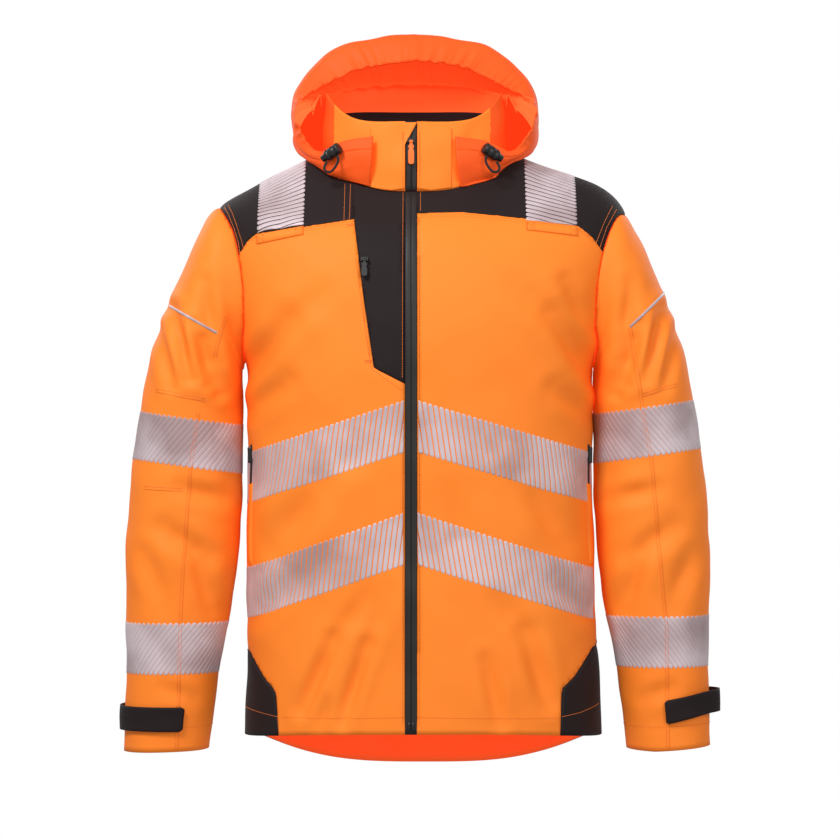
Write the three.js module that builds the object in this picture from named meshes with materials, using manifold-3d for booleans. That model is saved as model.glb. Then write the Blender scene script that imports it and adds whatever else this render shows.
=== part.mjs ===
// Hooded high-visibility work jacket, zipped up and filled out as it is when worn.
// Millimetres. +X is the wearer's left, -Y the front, +Z up. The origin is level with the side
// neck points, where the wearer's shoulders hold the jacket.
import * as THREE from 'three';
import { mergeVertices } from 'three/addons/utils/BufferGeometryUtils.js';
import Module from 'manifold-3d';

const wasm = await Module();
wasm.setup();

// Driving dimensions
const CLOTH = 2; // shell, membrane and lining together
const SEAM = 0.3; // gap between two pieces that are sewn together
const TAPE = 1; // reflective tape
const ZIP_X = -8; // the zip runs just right of the middle
const ZIP_HALF = 7;
const TORSO_TURNS = 40;
const TORSO_RISES = 18;
const SLEEVE_TURNS = 18;
const COLLAR_TURNS = 28;
const SLEEVE_RISES = 15;
const SLEEVE_BEND = 0.92; // sleeve sections are a little squarer than an ellipse
const HOOD_TURNS = 26;
const HOOD_RISES = 10;
const HOOD_SHIFT = -5;
const BRIM_SHARE = 0.25; // rows of the hood between free edge and brim crest
const STRIP_WIDTH = 41; // collar strips beside the zip
const LINING = { low: 14, high: 62, from_y: -10 }; // round the back of the neck, inside the collar
const FAR = 400; // past the jacket on every side
const ZIP_RIGHT = ZIP_X - ZIP_HALF;
const ZIP_LEFT = ZIP_X + ZIP_HALF;
const ZIP_BOTTOM = -668;

// Seam lines in the front view, as x and z
const YOKE_EDGE_RIGHT = [
  [-260, -168], [-217, -125], [-200, -100], [-191, -93], [-132, -85], [-60, -74],
];
const YOKE_EDGE_LEFT = [
  [-8, -70], [51, -68], [93, -72], [122, -75], [188, -83], [205, -96], [223, -120], [260, -168],
];
const YOKE_EDGE_BACK = [[-260, -122], [-200, -106], [0, -98], [200, -106], [260, -122]];
const CHEST_PANEL = [
  [-79, 40], [-75, -76], [-69, -125], [-62, -179], [-51, -252], [ZIP_X, -274], [ZIP_X, 40],
];
const GORE_RIGHT = [
  [-300, -577], [-206, -577], [-181, -615], [-167, -629], [-161, -700], [-161, -800], [-300, -800],
];
const GORE_LEFT = [
  [300, -573], [213, -573], [184, -612], [168, -626], [165, -700], [165, -800], [300, -800],
];

// Reflective tape
const TAPE_HEIGHT = 61; // along Z, on tape that slants down from the zip
const TAPE_INSET = 1.5; // from the zip strip
const TAPE_SIDE = { right: -201, left: 205 }; // the front tapes end at the hand pockets
const FRONT_TAPES = { upper: { zip_top: -289, side_top: -350 }, lower: { zip_top: -419, side_top: -486 } };
const BACK_TAPE_TOPS = { upper: -350, lower: -486 };
const BACK_TAPE_FROM = -4; // the back tapes reach a little past the side seams
const SHOULDER_TAPES = { right: [-190, -133, -94, -84], left: [126, 188, -79, -85] }; // x, x, z, z
const SHOULDER_REACH = 130; // how far back the shoulder tapes go
const LOOP_DROP = 12; // the cloth loop below each shoulder tape

// Pockets and zip hardware
const HAND_ZIP = { y0: -58, y1: -50, z0: -480, z1: -338, inner_x: 150, thick: 1.5 }; // at the sides
const HAND_PULL = { from_top: 4, length: 22, inset: 1, thick: 2.5 };
const CUFF_TAB_REACH = 20; // how far back the cuff tabs go
const SLIDER = { half_width: 4.5, thick: 3.3, low: -7, high: 5 };
const LUG = { outer: 4.2, foot: 3.2, half_height: 1.8, past_pin: 1.5 };
const PIN_OUT = 5.6; // from the cloth to the pin
const PIN_RADIUS = 0.8;
const EYE_RADIUS = 1.9;
const EYE_HALF = 2.3;
const TAB = { half_thick: 0.9, half_width: 3.5, high: -3.4 };
const TAB_NECK = { half_width: 1.9, low: -5, high: -1 };
const MAIN_PULL = { x: ZIP_X, z: 15, length: 27 };
const POCKET_PULL = { x: -62, z: -128, length: 20 };

// Cord locks on the hood's front ends, and the cord's loop below each
const LOCKS = {
  right: { turn: 0.045, rise: 0.28, sink: 0.6 }, // the cloth gives a little under a lock
  left: { turn: 0.96, rise: 0.28, sink: 0.2 },
};
const LOCK_TILT = 0.55; // how far a lock's button end hangs down
const BARREL = { radius: 7, half_length: 10, button_radius: 4.6, button_length: 7, edge: 1.5 };
const CORD_RADIUS = 1.5;
const CORD_ROUTE = [
  [-5, -4, -5], [-6, -5, -11], [-3, -6, -18], [3, -6, -24], [9, -6, -23], [10, -5, -18], [7, -4, -12.2],
];

// The named columns of a table, one object for each row
function table(columns, ...rows) {
  return rows.map((row) => Object.fromEntries(columns.map((name, i) => [name, row[i]])));
}

// Rings of the body from hem to neck seam. Each ring dips or rises between side, front and back.
const RING_COLUMNS = [
  'side_z', 'front_z', 'back_z', 'half_width', 'front', 'back', 'shift_x', 'corner', 'brow',
];
const TORSO_RINGS = table(
  RING_COLUMNS,
  [-686, -676, -737, 214, 145, 148, 7, 2.5, 3], // hem, dropped at the back
  [-610, -606, -640, 211, 146, 147, 6, 2.5, 3],
  [-530, -528, -535, 208, 146, 144, 4, 2.5, 3], // hip
  [-440, -440, -440, 207, 146, 142, 2, 2.5, 3],
  [-350, -350, -350, 206, 148, 140, 2, 2.5, 3], // waist
  [-280, -282, -280, 207, 149, 140, 2, 2.5, 3],
  [-235, -240, -232, 210, 149, 141, 2, 2.5, 3], // armpit
  [-185, -195, -178, 222, 146, 142, 2, 2.4, 3],
  [-130, -148, -120, 237, 138, 138, 3, 2.3, 3], // chest and shoulder blades
  [-85, -112, -72, 245, 127, 128, 4, 2.2, 3],
  [-56, -88, -40, 240, 114, 112, 4, 2.1, 3], // shoulder tip
  [-30, -68, -16, 203, 98, 96, 10, 2, 3],
  [-6, -53, 0, 147, 85, 80, 1, 2, 3],
  [9, -43, 12, 112, 76, 70, -3, 2, 3], // neck seam
);

// Rings of the stand collar, from the neck seam to its top edge
const COLLAR_RINGS = table(
  RING_COLUMNS,
  [9.4, -42.6, 12.4, 112, 76, 70, -3, 2, 3],
  [34, -14, 40, 110, 76, 70, -4, 2, 3.5],
  [58, 14, 68, 108, 74, 68, -4, 2, 4.5],
  [80, 40, 94, 105, 71, 66, -5, 2, 5],
);

// Sections of a sleeve in its slanting plane, from inside the body, over the shoulder, to the cuff
const SLEEVE_SECTIONS = table(
  ['inner_x', 'inner_z', 'outer_x', 'outer_z', 'front', 'back', 'middle_y'],
  [150, -215, 190, -74, 74, 74, 4], // inside the body, cut off at the armhole
  [204, -240, 238, -57, 78, 80, 2], // armhole
  [214, -252, 262, -90, 80, 80, 0],
  [215, -261, 283, -136, 78, 78, -2],
  [215, -272, 301, -183, 76, 76, -4], // upper arm
  [215, -290, 318, -233, 74, 72, -6],
  [215, -319, 330, -290, 71, 69, -8], // upper tape
  [215, -362, 339, -350, 69, 66, -10],
  [216, -420, 345, -410, 67, 64, -11], // elbow
  [219, -490, 349, -482, 65, 62, -12],
  [229, -560, 350, -556, 61, 58, -13], // lower tape
  [239, -620, 351, -618, 57, 55, -14],
  [249, -703, 354, -706, 52, 51, -15], // cuff
);

// Half of the hood from its front end beside the zip to the top of the brim, at x above 0.
// Each row is one strip of hood: free edge, crest of the brim, lowest fold behind, neck seam.
const HOOD_STRIPS = table(
  ['edge_x', 'edge_y', 'edge_z', 'crest_x', 'crest_y', 'crest_z', 'fold_x', 'fold_y', 'fold_z', 'seam_angle'],
  [50, -76, 22, 51, -79, 4, 52, -78, -16, -62],
  [90, -62, 18, 96, -62, 6, 95, -57, -8, -42],
  [119, -40, 14, 129, -36, 10, 123, -25, 2, -25],
  [139, -26, 32, 147, -10, 26, 138, 6, 8, -8],
  [149, -10, 58, 151, 10, 54, 147, 36, 14, 8],
  [138, -2, 74, 150, 22, 78, 150, 68, 20, 22],
  [117, 2, 87, 140, 26, 98, 146, 98, 22, 36],
  [94, 4, 98, 118, 28, 122, 132, 128, 20, 50],
  [64, 4, 111, 88, 30, 142, 100, 158, 8, 63],
  [32, 2, 117, 46, 32, 151, 54, 178, -6, 77],
  [0, 0, 120, 0, 33, 155, 0, 184, -12, 90],
);

// The largest folds of the cloth, as troughs between two points of the front view
const FOLD_COLUMNS = ['x', 'z', 'to_x', 'to_z', 'face', 'width', 'depth'];
const TORSO_FOLDS = table(
  FOLD_COLUMNS,
  [-130, -640, -104, -586, -1, 22, 5],
  [-84, -612, -70, -572, -1, 20, 4],
  [-166, -460, -118, -392, -1, 24, 5],
  [150, -640, 120, -570, -1, 26, 4],
  [170, -450, 130, -380, -1, 24, 4],
  [-180, -250, -130, -190, -1, 26, 4],
  [180, -250, 130, -190, -1, 26, 4],
  [-120, -600, -60, -500, 1, 28, 5],
  [120, -600, 60, -500, 1, 28, 5],
  [-150, -300, -80, -220, 1, 28, 5],
  [150, -300, 80, -220, 1, 28, 5],
);
const SLEEVE_FOLDS = table(
  FOLD_COLUMNS,
  [268, -250, 290, -180, -1, 16, 6],
  [238, -300, 262, -236, -1, 14, 5],
  [250, -470, 300, -440, -1, 18, 4],
  [268, -250, 290, -180, 1, 16, 6],
  [250, -430, 310, -400, 1, 18, 5],
  [262, -540, 320, -500, 1, 18, 4],
);

const clamp01 = (value) => Math.min(1, Math.max(0, value));
const radians = (degrees) => (degrees * Math.PI) / 180;

// A column of a table at a place between rows, on a smooth curve through them
function along(rows, place, column) {
  const last = rows.length - 1;
  const scaled = clamp01(place) * last;
  const i = Math.min(Math.floor(scaled), last - 1);
  const t = scaled - i;
  const at = (k) => rows[Math.min(last, Math.max(0, k))][column];
  const slope = (k) => (at(k + 1) - at(k - 1)) / (k > 0 && k < last ? 2 : 1);
  const t2 = t * t;
  const t3 = t2 * t;
  return (2 * t3 - 3 * t2 + 1) * at(i) + (t3 - 2 * t2 + t) * slope(i)
    + (3 * t2 - 2 * t3) * at(i + 1) + (t3 - t2) * slope(i + 1);
}

const bent = (value, power) => Math.sign(value) * Math.abs(value) ** power;

// A point of a ring table: turn goes once round from the wearer's left by the back
function ringPoint(rows, turn, rise) {
  const value = (column) => along(rows, rise, column);
  const angle = turn * 2 * Math.PI;
  const across = bent(Math.cos(angle), 2 / value('corner'));
  const deep = bent(Math.sin(angle), 2 / value('corner'));
  const middle_z = deep < 0 ? value('front_z') : value('back_z');
  const lift = Math.abs(across) ** value('brow');
  return new THREE.Vector3(
    value('shift_x') + value('half_width') * across,
    deep * (deep < 0 ? value('front') : value('back')),
    middle_z + (value('side_z') - middle_z) * lift,
  );
}

// How deep the folds press into the cloth at a point
function foldDepth(folds, point) {
  let depth = 0;
  for (const fold of folds) {
    if (Math.sign(point.y) !== fold.face) continue;
    const run = new THREE.Vector2(fold.to_x - fold.x, fold.to_z - fold.z);
    const away = new THREE.Vector2(point.x - fold.x, point.z - fold.z);
    const share = clamp01(away.dot(run) / run.lengthSq());
    const gap = away.sub(run.multiplyScalar(share)).length();
    depth += fold.depth * Math.exp(-((gap / fold.width) ** 2));
  }
  return depth;
}

// Outward direction of a surface, from two short steps along it
function outward(point, turn, rise, flip) {
  const step = 0.002;
  const low = Math.max(0, rise - step);
  const high = Math.min(1, rise + step);
  const round = point(turn + step, rise).sub(point(turn - step, rise));
  const up = point(turn, high).sub(point(turn, low));
  return round.cross(up).normalize().multiplyScalar(flip);
}

// Points and outward directions of a surface, with folds pressed in
function surfaceGrid({ point, turns, rises, closed, flip = 1, folds = [], start = 0, end = 1 }) {
  const columns = closed ? turns : turns + 1;
  const grid = [];
  for (let j = 0; j <= rises; j += 1) {
    const rise = j / rises;
    const row = [];
    for (let i = 0; i < columns; i += 1) {
      const turn = start + ((end - start) * i) / turns;
      const place = point(turn, rise);
      const normal = outward(point, turn, rise, flip);
      place.addScaledVector(normal, -foldDepth(folds, place));
      row.push({ place, normal });
    }
    grid.push(row);
  }
  return { grid, closed };
}

// A closed body from points and faces, turned so that its faces point out
function closedBody(points, faces) {
  let volume = 0;
  for (const [a, b, c] of faces) volume += points[a].dot(points[b].clone().cross(points[c]));
  const turned = volume < 0 ? faces.map(([a, b, c]) => [a, c, b]) : faces;
  const geometry = new THREE.BufferGeometry();
  geometry.setAttribute('position', new THREE.Float32BufferAttribute(points.flatMap((p) => p.toArray()), 3));
  geometry.setIndex(turned.flat());
  return geometry;
}

// A cloth wall: the surface moved out by two distances, joined round its edges
function wallGeometry({ grid, closed }, low, high) {
  const rows = grid.length;
  const columns = grid[0].length;
  const points = [];
  for (const distance of [high, low]) {
    for (const { place, normal } of grid.flat()) points.push(place.clone().addScaledVector(normal, distance));
  }
  const at = (side, j, i) => side * rows * columns + j * columns + (i % columns);
  const faces = [];
  const quad = (a, b, c, d) => faces.push([a, b, c], [a, c, d]);
  const spans = closed ? columns : columns - 1;
  for (let i = 0; i < spans; i += 1) {
    for (let j = 0; j < rows - 1; j += 1) {
      quad(at(0, j, i), at(0, j, i + 1), at(0, j + 1, i + 1), at(0, j + 1, i));
      quad(at(1, j, i), at(1, j + 1, i), at(1, j + 1, i + 1), at(1, j, i + 1));
    }
    quad(at(1, 0, i), at(1, 0, i + 1), at(0, 0, i + 1), at(0, 0, i));
    quad(at(0, rows - 1, i), at(0, rows - 1, i + 1), at(1, rows - 1, i + 1), at(1, rows - 1, i));
  }
  for (let j = 0; j < rows - 1 && !closed; j += 1) {
    quad(at(0, j, 0), at(0, j + 1, 0), at(1, j + 1, 0), at(1, j, 0));
    quad(at(1, j, columns - 1), at(1, j + 1, columns - 1), at(0, j + 1, columns - 1), at(0, j, columns - 1));
  }
  return closedBody(points, faces);
}

// The whole space inside a closed surface that is moved out by a distance, with flat ends
function filledGeometry({ grid }, distance) {
  const rows = grid.length;
  const columns = grid[0].length;
  const points = grid.flat().map(({ place, normal }) => place.clone().addScaledVector(normal, distance));
  const middle = (j) => points.slice(j * columns, (j + 1) * columns)
    .reduce((sum, p) => sum.add(p), new THREE.Vector3()).divideScalar(columns);
  points.push(middle(0), middle(rows - 1));
  const faces = [];
  for (let i = 0; i < columns; i += 1) {
    const next = (i + 1) % columns;
    for (let j = 0; j < rows - 1; j += 1) {
      faces.push([j * columns + i, j * columns + next, (j + 1) * columns + next]);
      faces.push([j * columns + i, (j + 1) * columns + next, (j + 1) * columns + i]);
    }
    faces.push([i, rows * columns, next]);
    faces.push([(rows - 1) * columns + i, (rows - 1) * columns + next, rows * columns + 1]);
  }
  return closedBody(points, faces);
}

// Booleans on closed geometries
function solidOf(geometry) {
  const bare = geometry.clone();
  bare.deleteAttribute('normal');
  bare.deleteAttribute('uv');
  const merged = mergeVertices(bare, 1e-4);
  return new wasm.Manifold(new wasm.Mesh({
    numProp: 3,
    vertProperties: new Float32Array(merged.getAttribute('position').array),
    triVerts: new Uint32Array(merged.getIndex().array),
  }));
}

function geometryOf(solid) {
  const mesh = solid.getMesh();
  const geometry = new THREE.BufferGeometry();
  geometry.setAttribute('position', new THREE.BufferAttribute(new Float32Array(mesh.vertProperties), 3));
  geometry.setIndex(new THREE.BufferAttribute(new Uint32Array(mesh.triVerts), 1));
  geometry.computeVertexNormals();
  return geometry;
}

// An outline of the front view, pushed through the jacket from one depth to another
function through(corners, from_y = -FAR, to_y = FAR) {
  const outline = new THREE.Shape(corners.map(([x, z]) => new THREE.Vector2(x, z)));
  const block = new THREE.ExtrudeGeometry(outline, { depth: to_y - from_y, bevelEnabled: false });
  block.rotateX(Math.PI / 2);
  block.translate(0, to_y, 0);
  return solidOf(block);
}

const rectangle = (x0, x1, z0, z1) => [[x0, z0], [x1, z0], [x1, z1], [x0, z1]];

// An outline with every side moved out by a distance
function grown(corners, distance) {
  const area = corners.reduce((sum, [x, z], i) => {
    const [next_x, next_z] = corners[(i + 1) % corners.length];
    return sum + x * next_z - next_x * z;
  }, 0);
  const side = (i) => {
    const [x, z] = corners[(i + corners.length) % corners.length];
    const [next_x, next_z] = corners[(i + 1 + corners.length) % corners.length];
    const along_side = new THREE.Vector2(next_x - x, next_z - z).normalize();
    return new THREE.Vector2(along_side.y, -along_side.x).multiplyScalar(Math.sign(area));
  };
  return corners.map(([x, z], i) => {
    const before = side(i - 1);
    const after = side(i);
    const mitre = before.clone().add(after);
    mitre.multiplyScalar(distance / (1 + before.dot(after)));
    return [x + mitre.x, z + mitre.y];
  });
}

// Cloth surfaces
const torso = surfaceGrid({
  point: (turn, rise) => ringPoint(TORSO_RINGS, turn, rise),
  turns: TORSO_TURNS,
  rises: TORSO_RISES,
  closed: true,
  folds: TORSO_FOLDS,
});

const collar = surfaceGrid({
  point: (turn, rise) => ringPoint(COLLAR_RINGS, turn, rise),
  turns: COLLAR_TURNS,
  rises: COLLAR_RINGS.length - 1,
  closed: true,
});

// side is 1 for the wearer's left sleeve and -1 for the right one
function sleevePoint(side, turn, rise) {
  const value = (column) => along(SLEEVE_SECTIONS, rise, column);
  const angle = turn * 2 * Math.PI;
  const across = bent(Math.cos(angle), SLEEVE_BEND);
  const deep = bent(Math.sin(angle), SLEEVE_BEND);
  return new THREE.Vector3(
    side * (value('inner_x') + ((value('outer_x') - value('inner_x')) * (1 + across)) / 2),
    value('middle_y') + deep * (deep < 0 ? value('front') : value('back')),
    value('inner_z') + ((value('outer_z') - value('inner_z')) * (1 + across)) / 2,
  );
}

function sleeveSurface(side) {
  return surfaceGrid({
    point: (turn, rise) => sleevePoint(side, turn, rise),
    turns: SLEEVE_TURNS,
    rises: SLEEVE_RISES,
    closed: true,
    flip: -side,
    folds: SLEEVE_FOLDS.map((fold) => ({ ...fold, x: side * fold.x, to_x: side * fold.to_x })),
  });
}

// The hood's surface: turn runs from its right front end over the top to its left one,
// rise from the free edge by the brim and the crown down to the neck seam
function hoodPoint(turn, rise) {
  const side = turn < 0.5 ? -1 : 1;
  const strip = 1 - Math.abs(2 * turn - 1);
  const value = (column) => along(HOOD_STRIPS, strip, column);
  const spot = (name) => new THREE.Vector3(
    side * value(`${name}_x`) + HOOD_SHIFT,
    value(`${name}_y`),
    value(`${name}_z`),
  );
  const angle = side > 0 ? value('seam_angle') : 180 - value('seam_angle');
  const seam = ringPoint(COLLAR_RINGS, angle / 360, 0);
  seam.add(new THREE.Vector3(Math.cos(radians(angle)), Math.sin(radians(angle)), 0)
    .multiplyScalar(CLOTH + 2 * SEAM));
  seam.z += 2 * SEAM;
  const path = new THREE.CatmullRomCurve3([spot('edge'), spot('crest'), spot('fold'), seam]);
  const brim = Math.min(rise, BRIM_SHARE) / BRIM_SHARE;
  const crown = clamp01((rise - BRIM_SHARE) / (1 - 2 * BRIM_SHARE));
  const under = clamp01((rise - 1 + BRIM_SHARE) / BRIM_SHARE);
  return path.getPoint((brim + crown + under) / 3);
}

const hood = surfaceGrid({
  point: hoodPoint,
  turns: HOOD_TURNS,
  rises: HOOD_RISES,
  closed: false,
});

const sleeves = { right: sleeveSurface(-1), left: sleeveSurface(1) };

// Colours of the finished materials
const FINISHES = {
  orange: { color: '#ff7f1c', roughness: 0.75, metalness: 0 },
  orange_inside: { color: '#f2581a', roughness: 0.8, metalness: 0 },
  black: { color: '#231f20', roughness: 0.8, metalness: 0 },
  silver: { color: '#b9b2ae', roughness: 0.45, metalness: 0.3 },
  plastic: { color: '#17171a', roughness: 0.5, metalness: 0 },
  pull: { color: '#f2711c', roughness: 0.55, metalness: 0 },
};

const jacket = new THREE.Group();

// A named piece with its own finish
function add(name, geometry, finish) {
  const piece = new THREE.Mesh(geometry, new THREE.MeshStandardMaterial(FINISHES[finish]));
  piece.name = name;
  jacket.add(piece);
  return piece;
}

// Body panels, cut from one wall by outlines of the front view

const body_wall = solidOf(wallGeometry(torso, -CLOTH, 0));
const body_filled = solidOf(filledGeometry(torso, SEAM));
const sleeves_filled = solidOf(filledGeometry(sleeves.right, SEAM))
  .add(solidOf(filledGeometry(sleeves.left, SEAM)));
const body = body_wall.subtract(sleeves_filled);

// Cuts pieces out of a wall one after another and keeps a seam's gap round each
function cutPieces(wall, outlines) {
  let rest = wall;
  for (const [name, finish, corners] of outlines) {
    add(name, geometryOf(rest.intersect(through(corners))), finish);
    rest = rest.subtract(through(grown(corners, SEAM)));
  }
  return rest;
}

const ungored = cutPieces(body, [
  ['side_gore_right', 'black', GORE_RIGHT],
  ['side_gore_left', 'black', GORE_LEFT],
]);
const everywhere = rectangle(-FAR, FAR, -2 * FAR, FAR);
const front_wall = ungored.intersect(through(everywhere, -FAR, -SEAM / 2));
const back_wall = ungored.intersect(through(everywhere, SEAM / 2, FAR));
cutPieces(front_wall, [
  ['main_zip', 'black', rectangle(ZIP_RIGHT, ZIP_LEFT, ZIP_BOTTOM - 40, FAR)],
  ['chest_panel', 'black', CHEST_PANEL],
  ['yoke_front_right', 'black', [[-260, FAR], ...YOKE_EDGE_RIGHT, [-60, FAR]]],
  ['yoke_front_left', 'black', [[-8, FAR], ...YOKE_EDGE_LEFT, [260, FAR]]],
  ['front_right', 'orange', rectangle(-FAR, ZIP_X, -2 * FAR, FAR)],
  ['front_left', 'orange', rectangle(ZIP_X, FAR, -2 * FAR, FAR)],
]);
cutPieces(back_wall, [
  ['yoke_back', 'black', [[-260, FAR], ...YOKE_EDGE_BACK, [260, FAR]]],
  ['back', 'orange', everywhere],
]);

// Sleeves, trimmed where they meet the body
for (const [side, surface] of Object.entries(sleeves)) {
  const wall = solidOf(wallGeometry(surface, -CLOTH, 0));
  add(`sleeve_${side}`, geometryOf(wall.subtract(body_filled)), 'orange');
}

// Stand collar with its zip, the strips beside it and the black lining of the neck
const collar_wall = solidOf(wallGeometry(collar, -CLOTH, 0));
const before_neck = [-FAR, 0];
const zip_strip = rectangle(ZIP_RIGHT, ZIP_LEFT, -FAR, FAR);
add('collar_zip', geometryOf(collar_wall.intersect(through(zip_strip, ...before_neck))), 'black');
const strip_gap = through(grown(zip_strip, SEAM), ...before_neck);
add('collar', geometryOf(collar_wall.subtract(strip_gap)), 'orange_inside');
const collar_skin = solidOf(wallGeometry(collar, SEAM, SEAM + CLOTH));
const COLLAR_STRIPS = {
  right: [ZIP_RIGHT - STRIP_WIDTH, ZIP_RIGHT],
  left: [ZIP_LEFT, ZIP_LEFT + STRIP_WIDTH],
};
for (const [side, [from_x, to_x]] of Object.entries(COLLAR_STRIPS)) {
  const strip = rectangle(from_x, to_x, -FAR, FAR);
  add(`collar_strip_${side}`, geometryOf(collar_skin.intersect(through(strip, ...before_neck))), 'orange');
}
const collar_inside = solidOf(wallGeometry(collar, -CLOTH - SEAM - TAPE, -CLOTH - SEAM));
const lining_outline = rectangle(-FAR, FAR, LINING.low, LINING.high);
add('neck_lining', geometryOf(collar_inside.intersect(through(lining_outline, LINING.from_y, FAR))), 'black');
add('hood', wallGeometry(hood, -CLOTH, 0), 'orange');

// Reflective tape and small cloth trim: the points of the panel below, moved out
const tape_skin = solidOf(wallGeometry(torso, SEAM, SEAM + TAPE)).subtract(sleeves_filled);

// A slanting band of the front view between two places across
const band = (x0, top0, x1, top1, height) => [
  [x0, top0 - height], [x1, top1 - height], [x1, top1], [x0, top0],
];

for (const [name, { zip_top, side_top }] of Object.entries(FRONT_TAPES)) {
  const right = band(TAPE_SIDE.right, side_top, ZIP_RIGHT - TAPE_INSET, zip_top, TAPE_HEIGHT);
  const left = band(ZIP_LEFT + TAPE_INSET, zip_top, TAPE_SIDE.left, side_top, TAPE_HEIGHT);
  const before_pocket = [-FAR, HAND_ZIP.y0 - SEAM];
  for (const [side, outline] of [['right', right], ['left', left]]) {
    const tape = tape_skin.intersect(through(outline, ...before_pocket));
    add(`tape_front_${name}_${side}`, geometryOf(tape), 'silver');
  }
}
for (const [name, top] of Object.entries(BACK_TAPE_TOPS)) {
  const outline = rectangle(-FAR, FAR, top - TAPE_HEIGHT, top);
  const tape = tape_skin.intersect(through(outline, BACK_TAPE_FROM, FAR));
  add(`tape_back_${name}`, geometryOf(tape), 'silver');
}

// Tape over each shoulder, from the front yoke's edge to the back yoke's edge
const loop_skin = solidOf(wallGeometry(torso, SEAM, SEAM + CLOTH)).subtract(sleeves_filled);
for (const [side, [x0, x1, z0, z1]] of Object.entries(SHOULDER_TAPES)) {
  const over = [[x0, z0], [x1, z1], [x1, FAR], [x0, FAR]];
  const tape = tape_skin.intersect(through(over, -FAR, SHOULDER_REACH));
  add(`tape_shoulder_${side}`, geometryOf(tape), 'silver');
  const loop = band(x0, z0 - SEAM, x1, z1 - SEAM, LOOP_DROP);
  add(`loop_tab_${side}`, geometryOf(loop_skin.intersect(through(loop, ...before_neck))), 'orange');
}

// Tapes, piping and cuff tabs of the sleeves, as outlines of the front view
const SLEEVE_TRIMS = {
  right: {
    upper: band(-FAR, -292, -190, -321, 58),
    lower: band(-FAR, -553, -190, -550, 61),
    piping: band(-296, -176, -236, -210, 3.5),
    cuff_tab: rectangle(-FAR, -278, -680, -650),
  },
  left: {
    upper: band(190, -308, FAR, -278, 59),
    lower: band(190, -544, FAR, -543, 61),
    piping: band(244, -203, 290, -163, 3.5),
    cuff_tab: [[293, -672], [393, -653], [393, -623], [293, -642]],
  },
};
for (const [side, surface] of Object.entries(sleeves)) {
  const skin = solidOf(wallGeometry(surface, SEAM, SEAM + TAPE)).subtract(body_filled);
  const tab_skin = solidOf(wallGeometry(surface, SEAM, SEAM + CLOTH)).subtract(body_filled);
  const trims = SLEEVE_TRIMS[side];
  add(`tape_sleeve_upper_${side}`, geometryOf(skin.intersect(through(trims.upper))), 'silver');
  add(`tape_sleeve_lower_${side}`, geometryOf(skin.intersect(through(trims.lower))), 'silver');
  add(`piping_${side}`, geometryOf(skin.intersect(through(trims.piping, ...before_neck))), 'silver');
  const tab_outline = through(trims.cuff_tab, -FAR, CUFF_TAB_REACH);
  add(`cuff_tab_${side}`, geometryOf(tab_skin.intersect(tab_outline)), 'black');
}

// Where the front of a ring table's surface lies, found by halving in turn and rise
function onFront(rows, x, z) {
  const halve = (low, high, below) => {
    let [from, to] = [low, high];
    for (let i = 0; i < 30; i += 1) {
      const half = (from + to) / 2;
      if (below(half)) from = half;
      else to = half;
    }
    return (from + to) / 2;
  };
  const turnAt = (rise) => halve(0.5, 1, (turn) => ringPoint(rows, turn, rise).x < x);
  const rise = halve(0, 1, (share) => ringPoint(rows, turnAt(share), share).z < z);
  const turn = turnAt(rise);
  const normal = outward((t, r) => ringPoint(rows, t, r), turn, rise, 1);
  return { place: ringPoint(rows, turn, rise), normal };
}

// A box between two corners, and a round pin along X
function box(x0, x1, y0, y1, z0, z1) {
  const block = new THREE.BoxGeometry(x1 - x0, y1 - y0, z1 - z0);
  return solidOf(block.translate((x0 + x1) / 2, (y0 + y1) / 2, (z0 + z1) / 2));
}

function pinAlongX(radius, half_length, y) {
  const pin = new THREE.CylinderGeometry(radius, radius, 2 * half_length, 12);
  return solidOf(pin.rotateZ(Math.PI / 2).translate(0, y, 0));
}

// A zip slider with two lugs and a pin, and the pull tab that swings on the pin.
// Local -Y points away from the cloth and the pin's middle is at local z 0.
function zipPull({ slider, tab, rows, x, z, length, tab_finish }) {
  const { place, normal } = onFront(rows, x, z);
  const lug_y = [-PIN_OUT - LUG.past_pin, -LUG.foot, -LUG.half_height, LUG.half_height];
  const { half_width, thick, low, high } = SLIDER;
  const slider_solid = box(-half_width, half_width, -thick, -2 * SEAM, low, high)
    .add(box(-LUG.outer, -EYE_HALF - SEAM, ...lug_y))
    .add(box(EYE_HALF + SEAM, LUG.outer, ...lug_y))
    .add(pinAlongX(PIN_RADIUS, EYE_HALF + 1, -PIN_OUT));
  const tab_y = [-PIN_OUT - TAB.half_thick, -PIN_OUT + TAB.half_thick];
  const tab_solid = pinAlongX(EYE_RADIUS, EYE_HALF, -PIN_OUT)
    .add(box(-TAB_NECK.half_width, TAB_NECK.half_width, ...tab_y, TAB_NECK.low, TAB_NECK.high))
    .add(box(-TAB.half_width, TAB.half_width, ...tab_y, -length, TAB.high))
    .subtract(pinAlongX(PIN_RADIUS + SEAM, EYE_HALF + 1, -PIN_OUT));
  for (const [name, solid, finish] of [[slider, slider_solid, 'plastic'], [tab, tab_solid, tab_finish]]) {
    const piece = add(name, geometryOf(solid), finish);
    piece.position.copy(place);
    piece.rotation.x = Math.atan2(-normal.z, -normal.y);
  }
}

zipPull({ slider: 'zip_slider', tab: 'zip_pull', rows: COLLAR_RINGS, ...MAIN_PULL, tab_finish: 'pull' });
zipPull({
  slider: 'pocket_slider', tab: 'pocket_pull', rows: TORSO_RINGS, ...POCKET_PULL, tab_finish: 'plastic',
});

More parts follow.
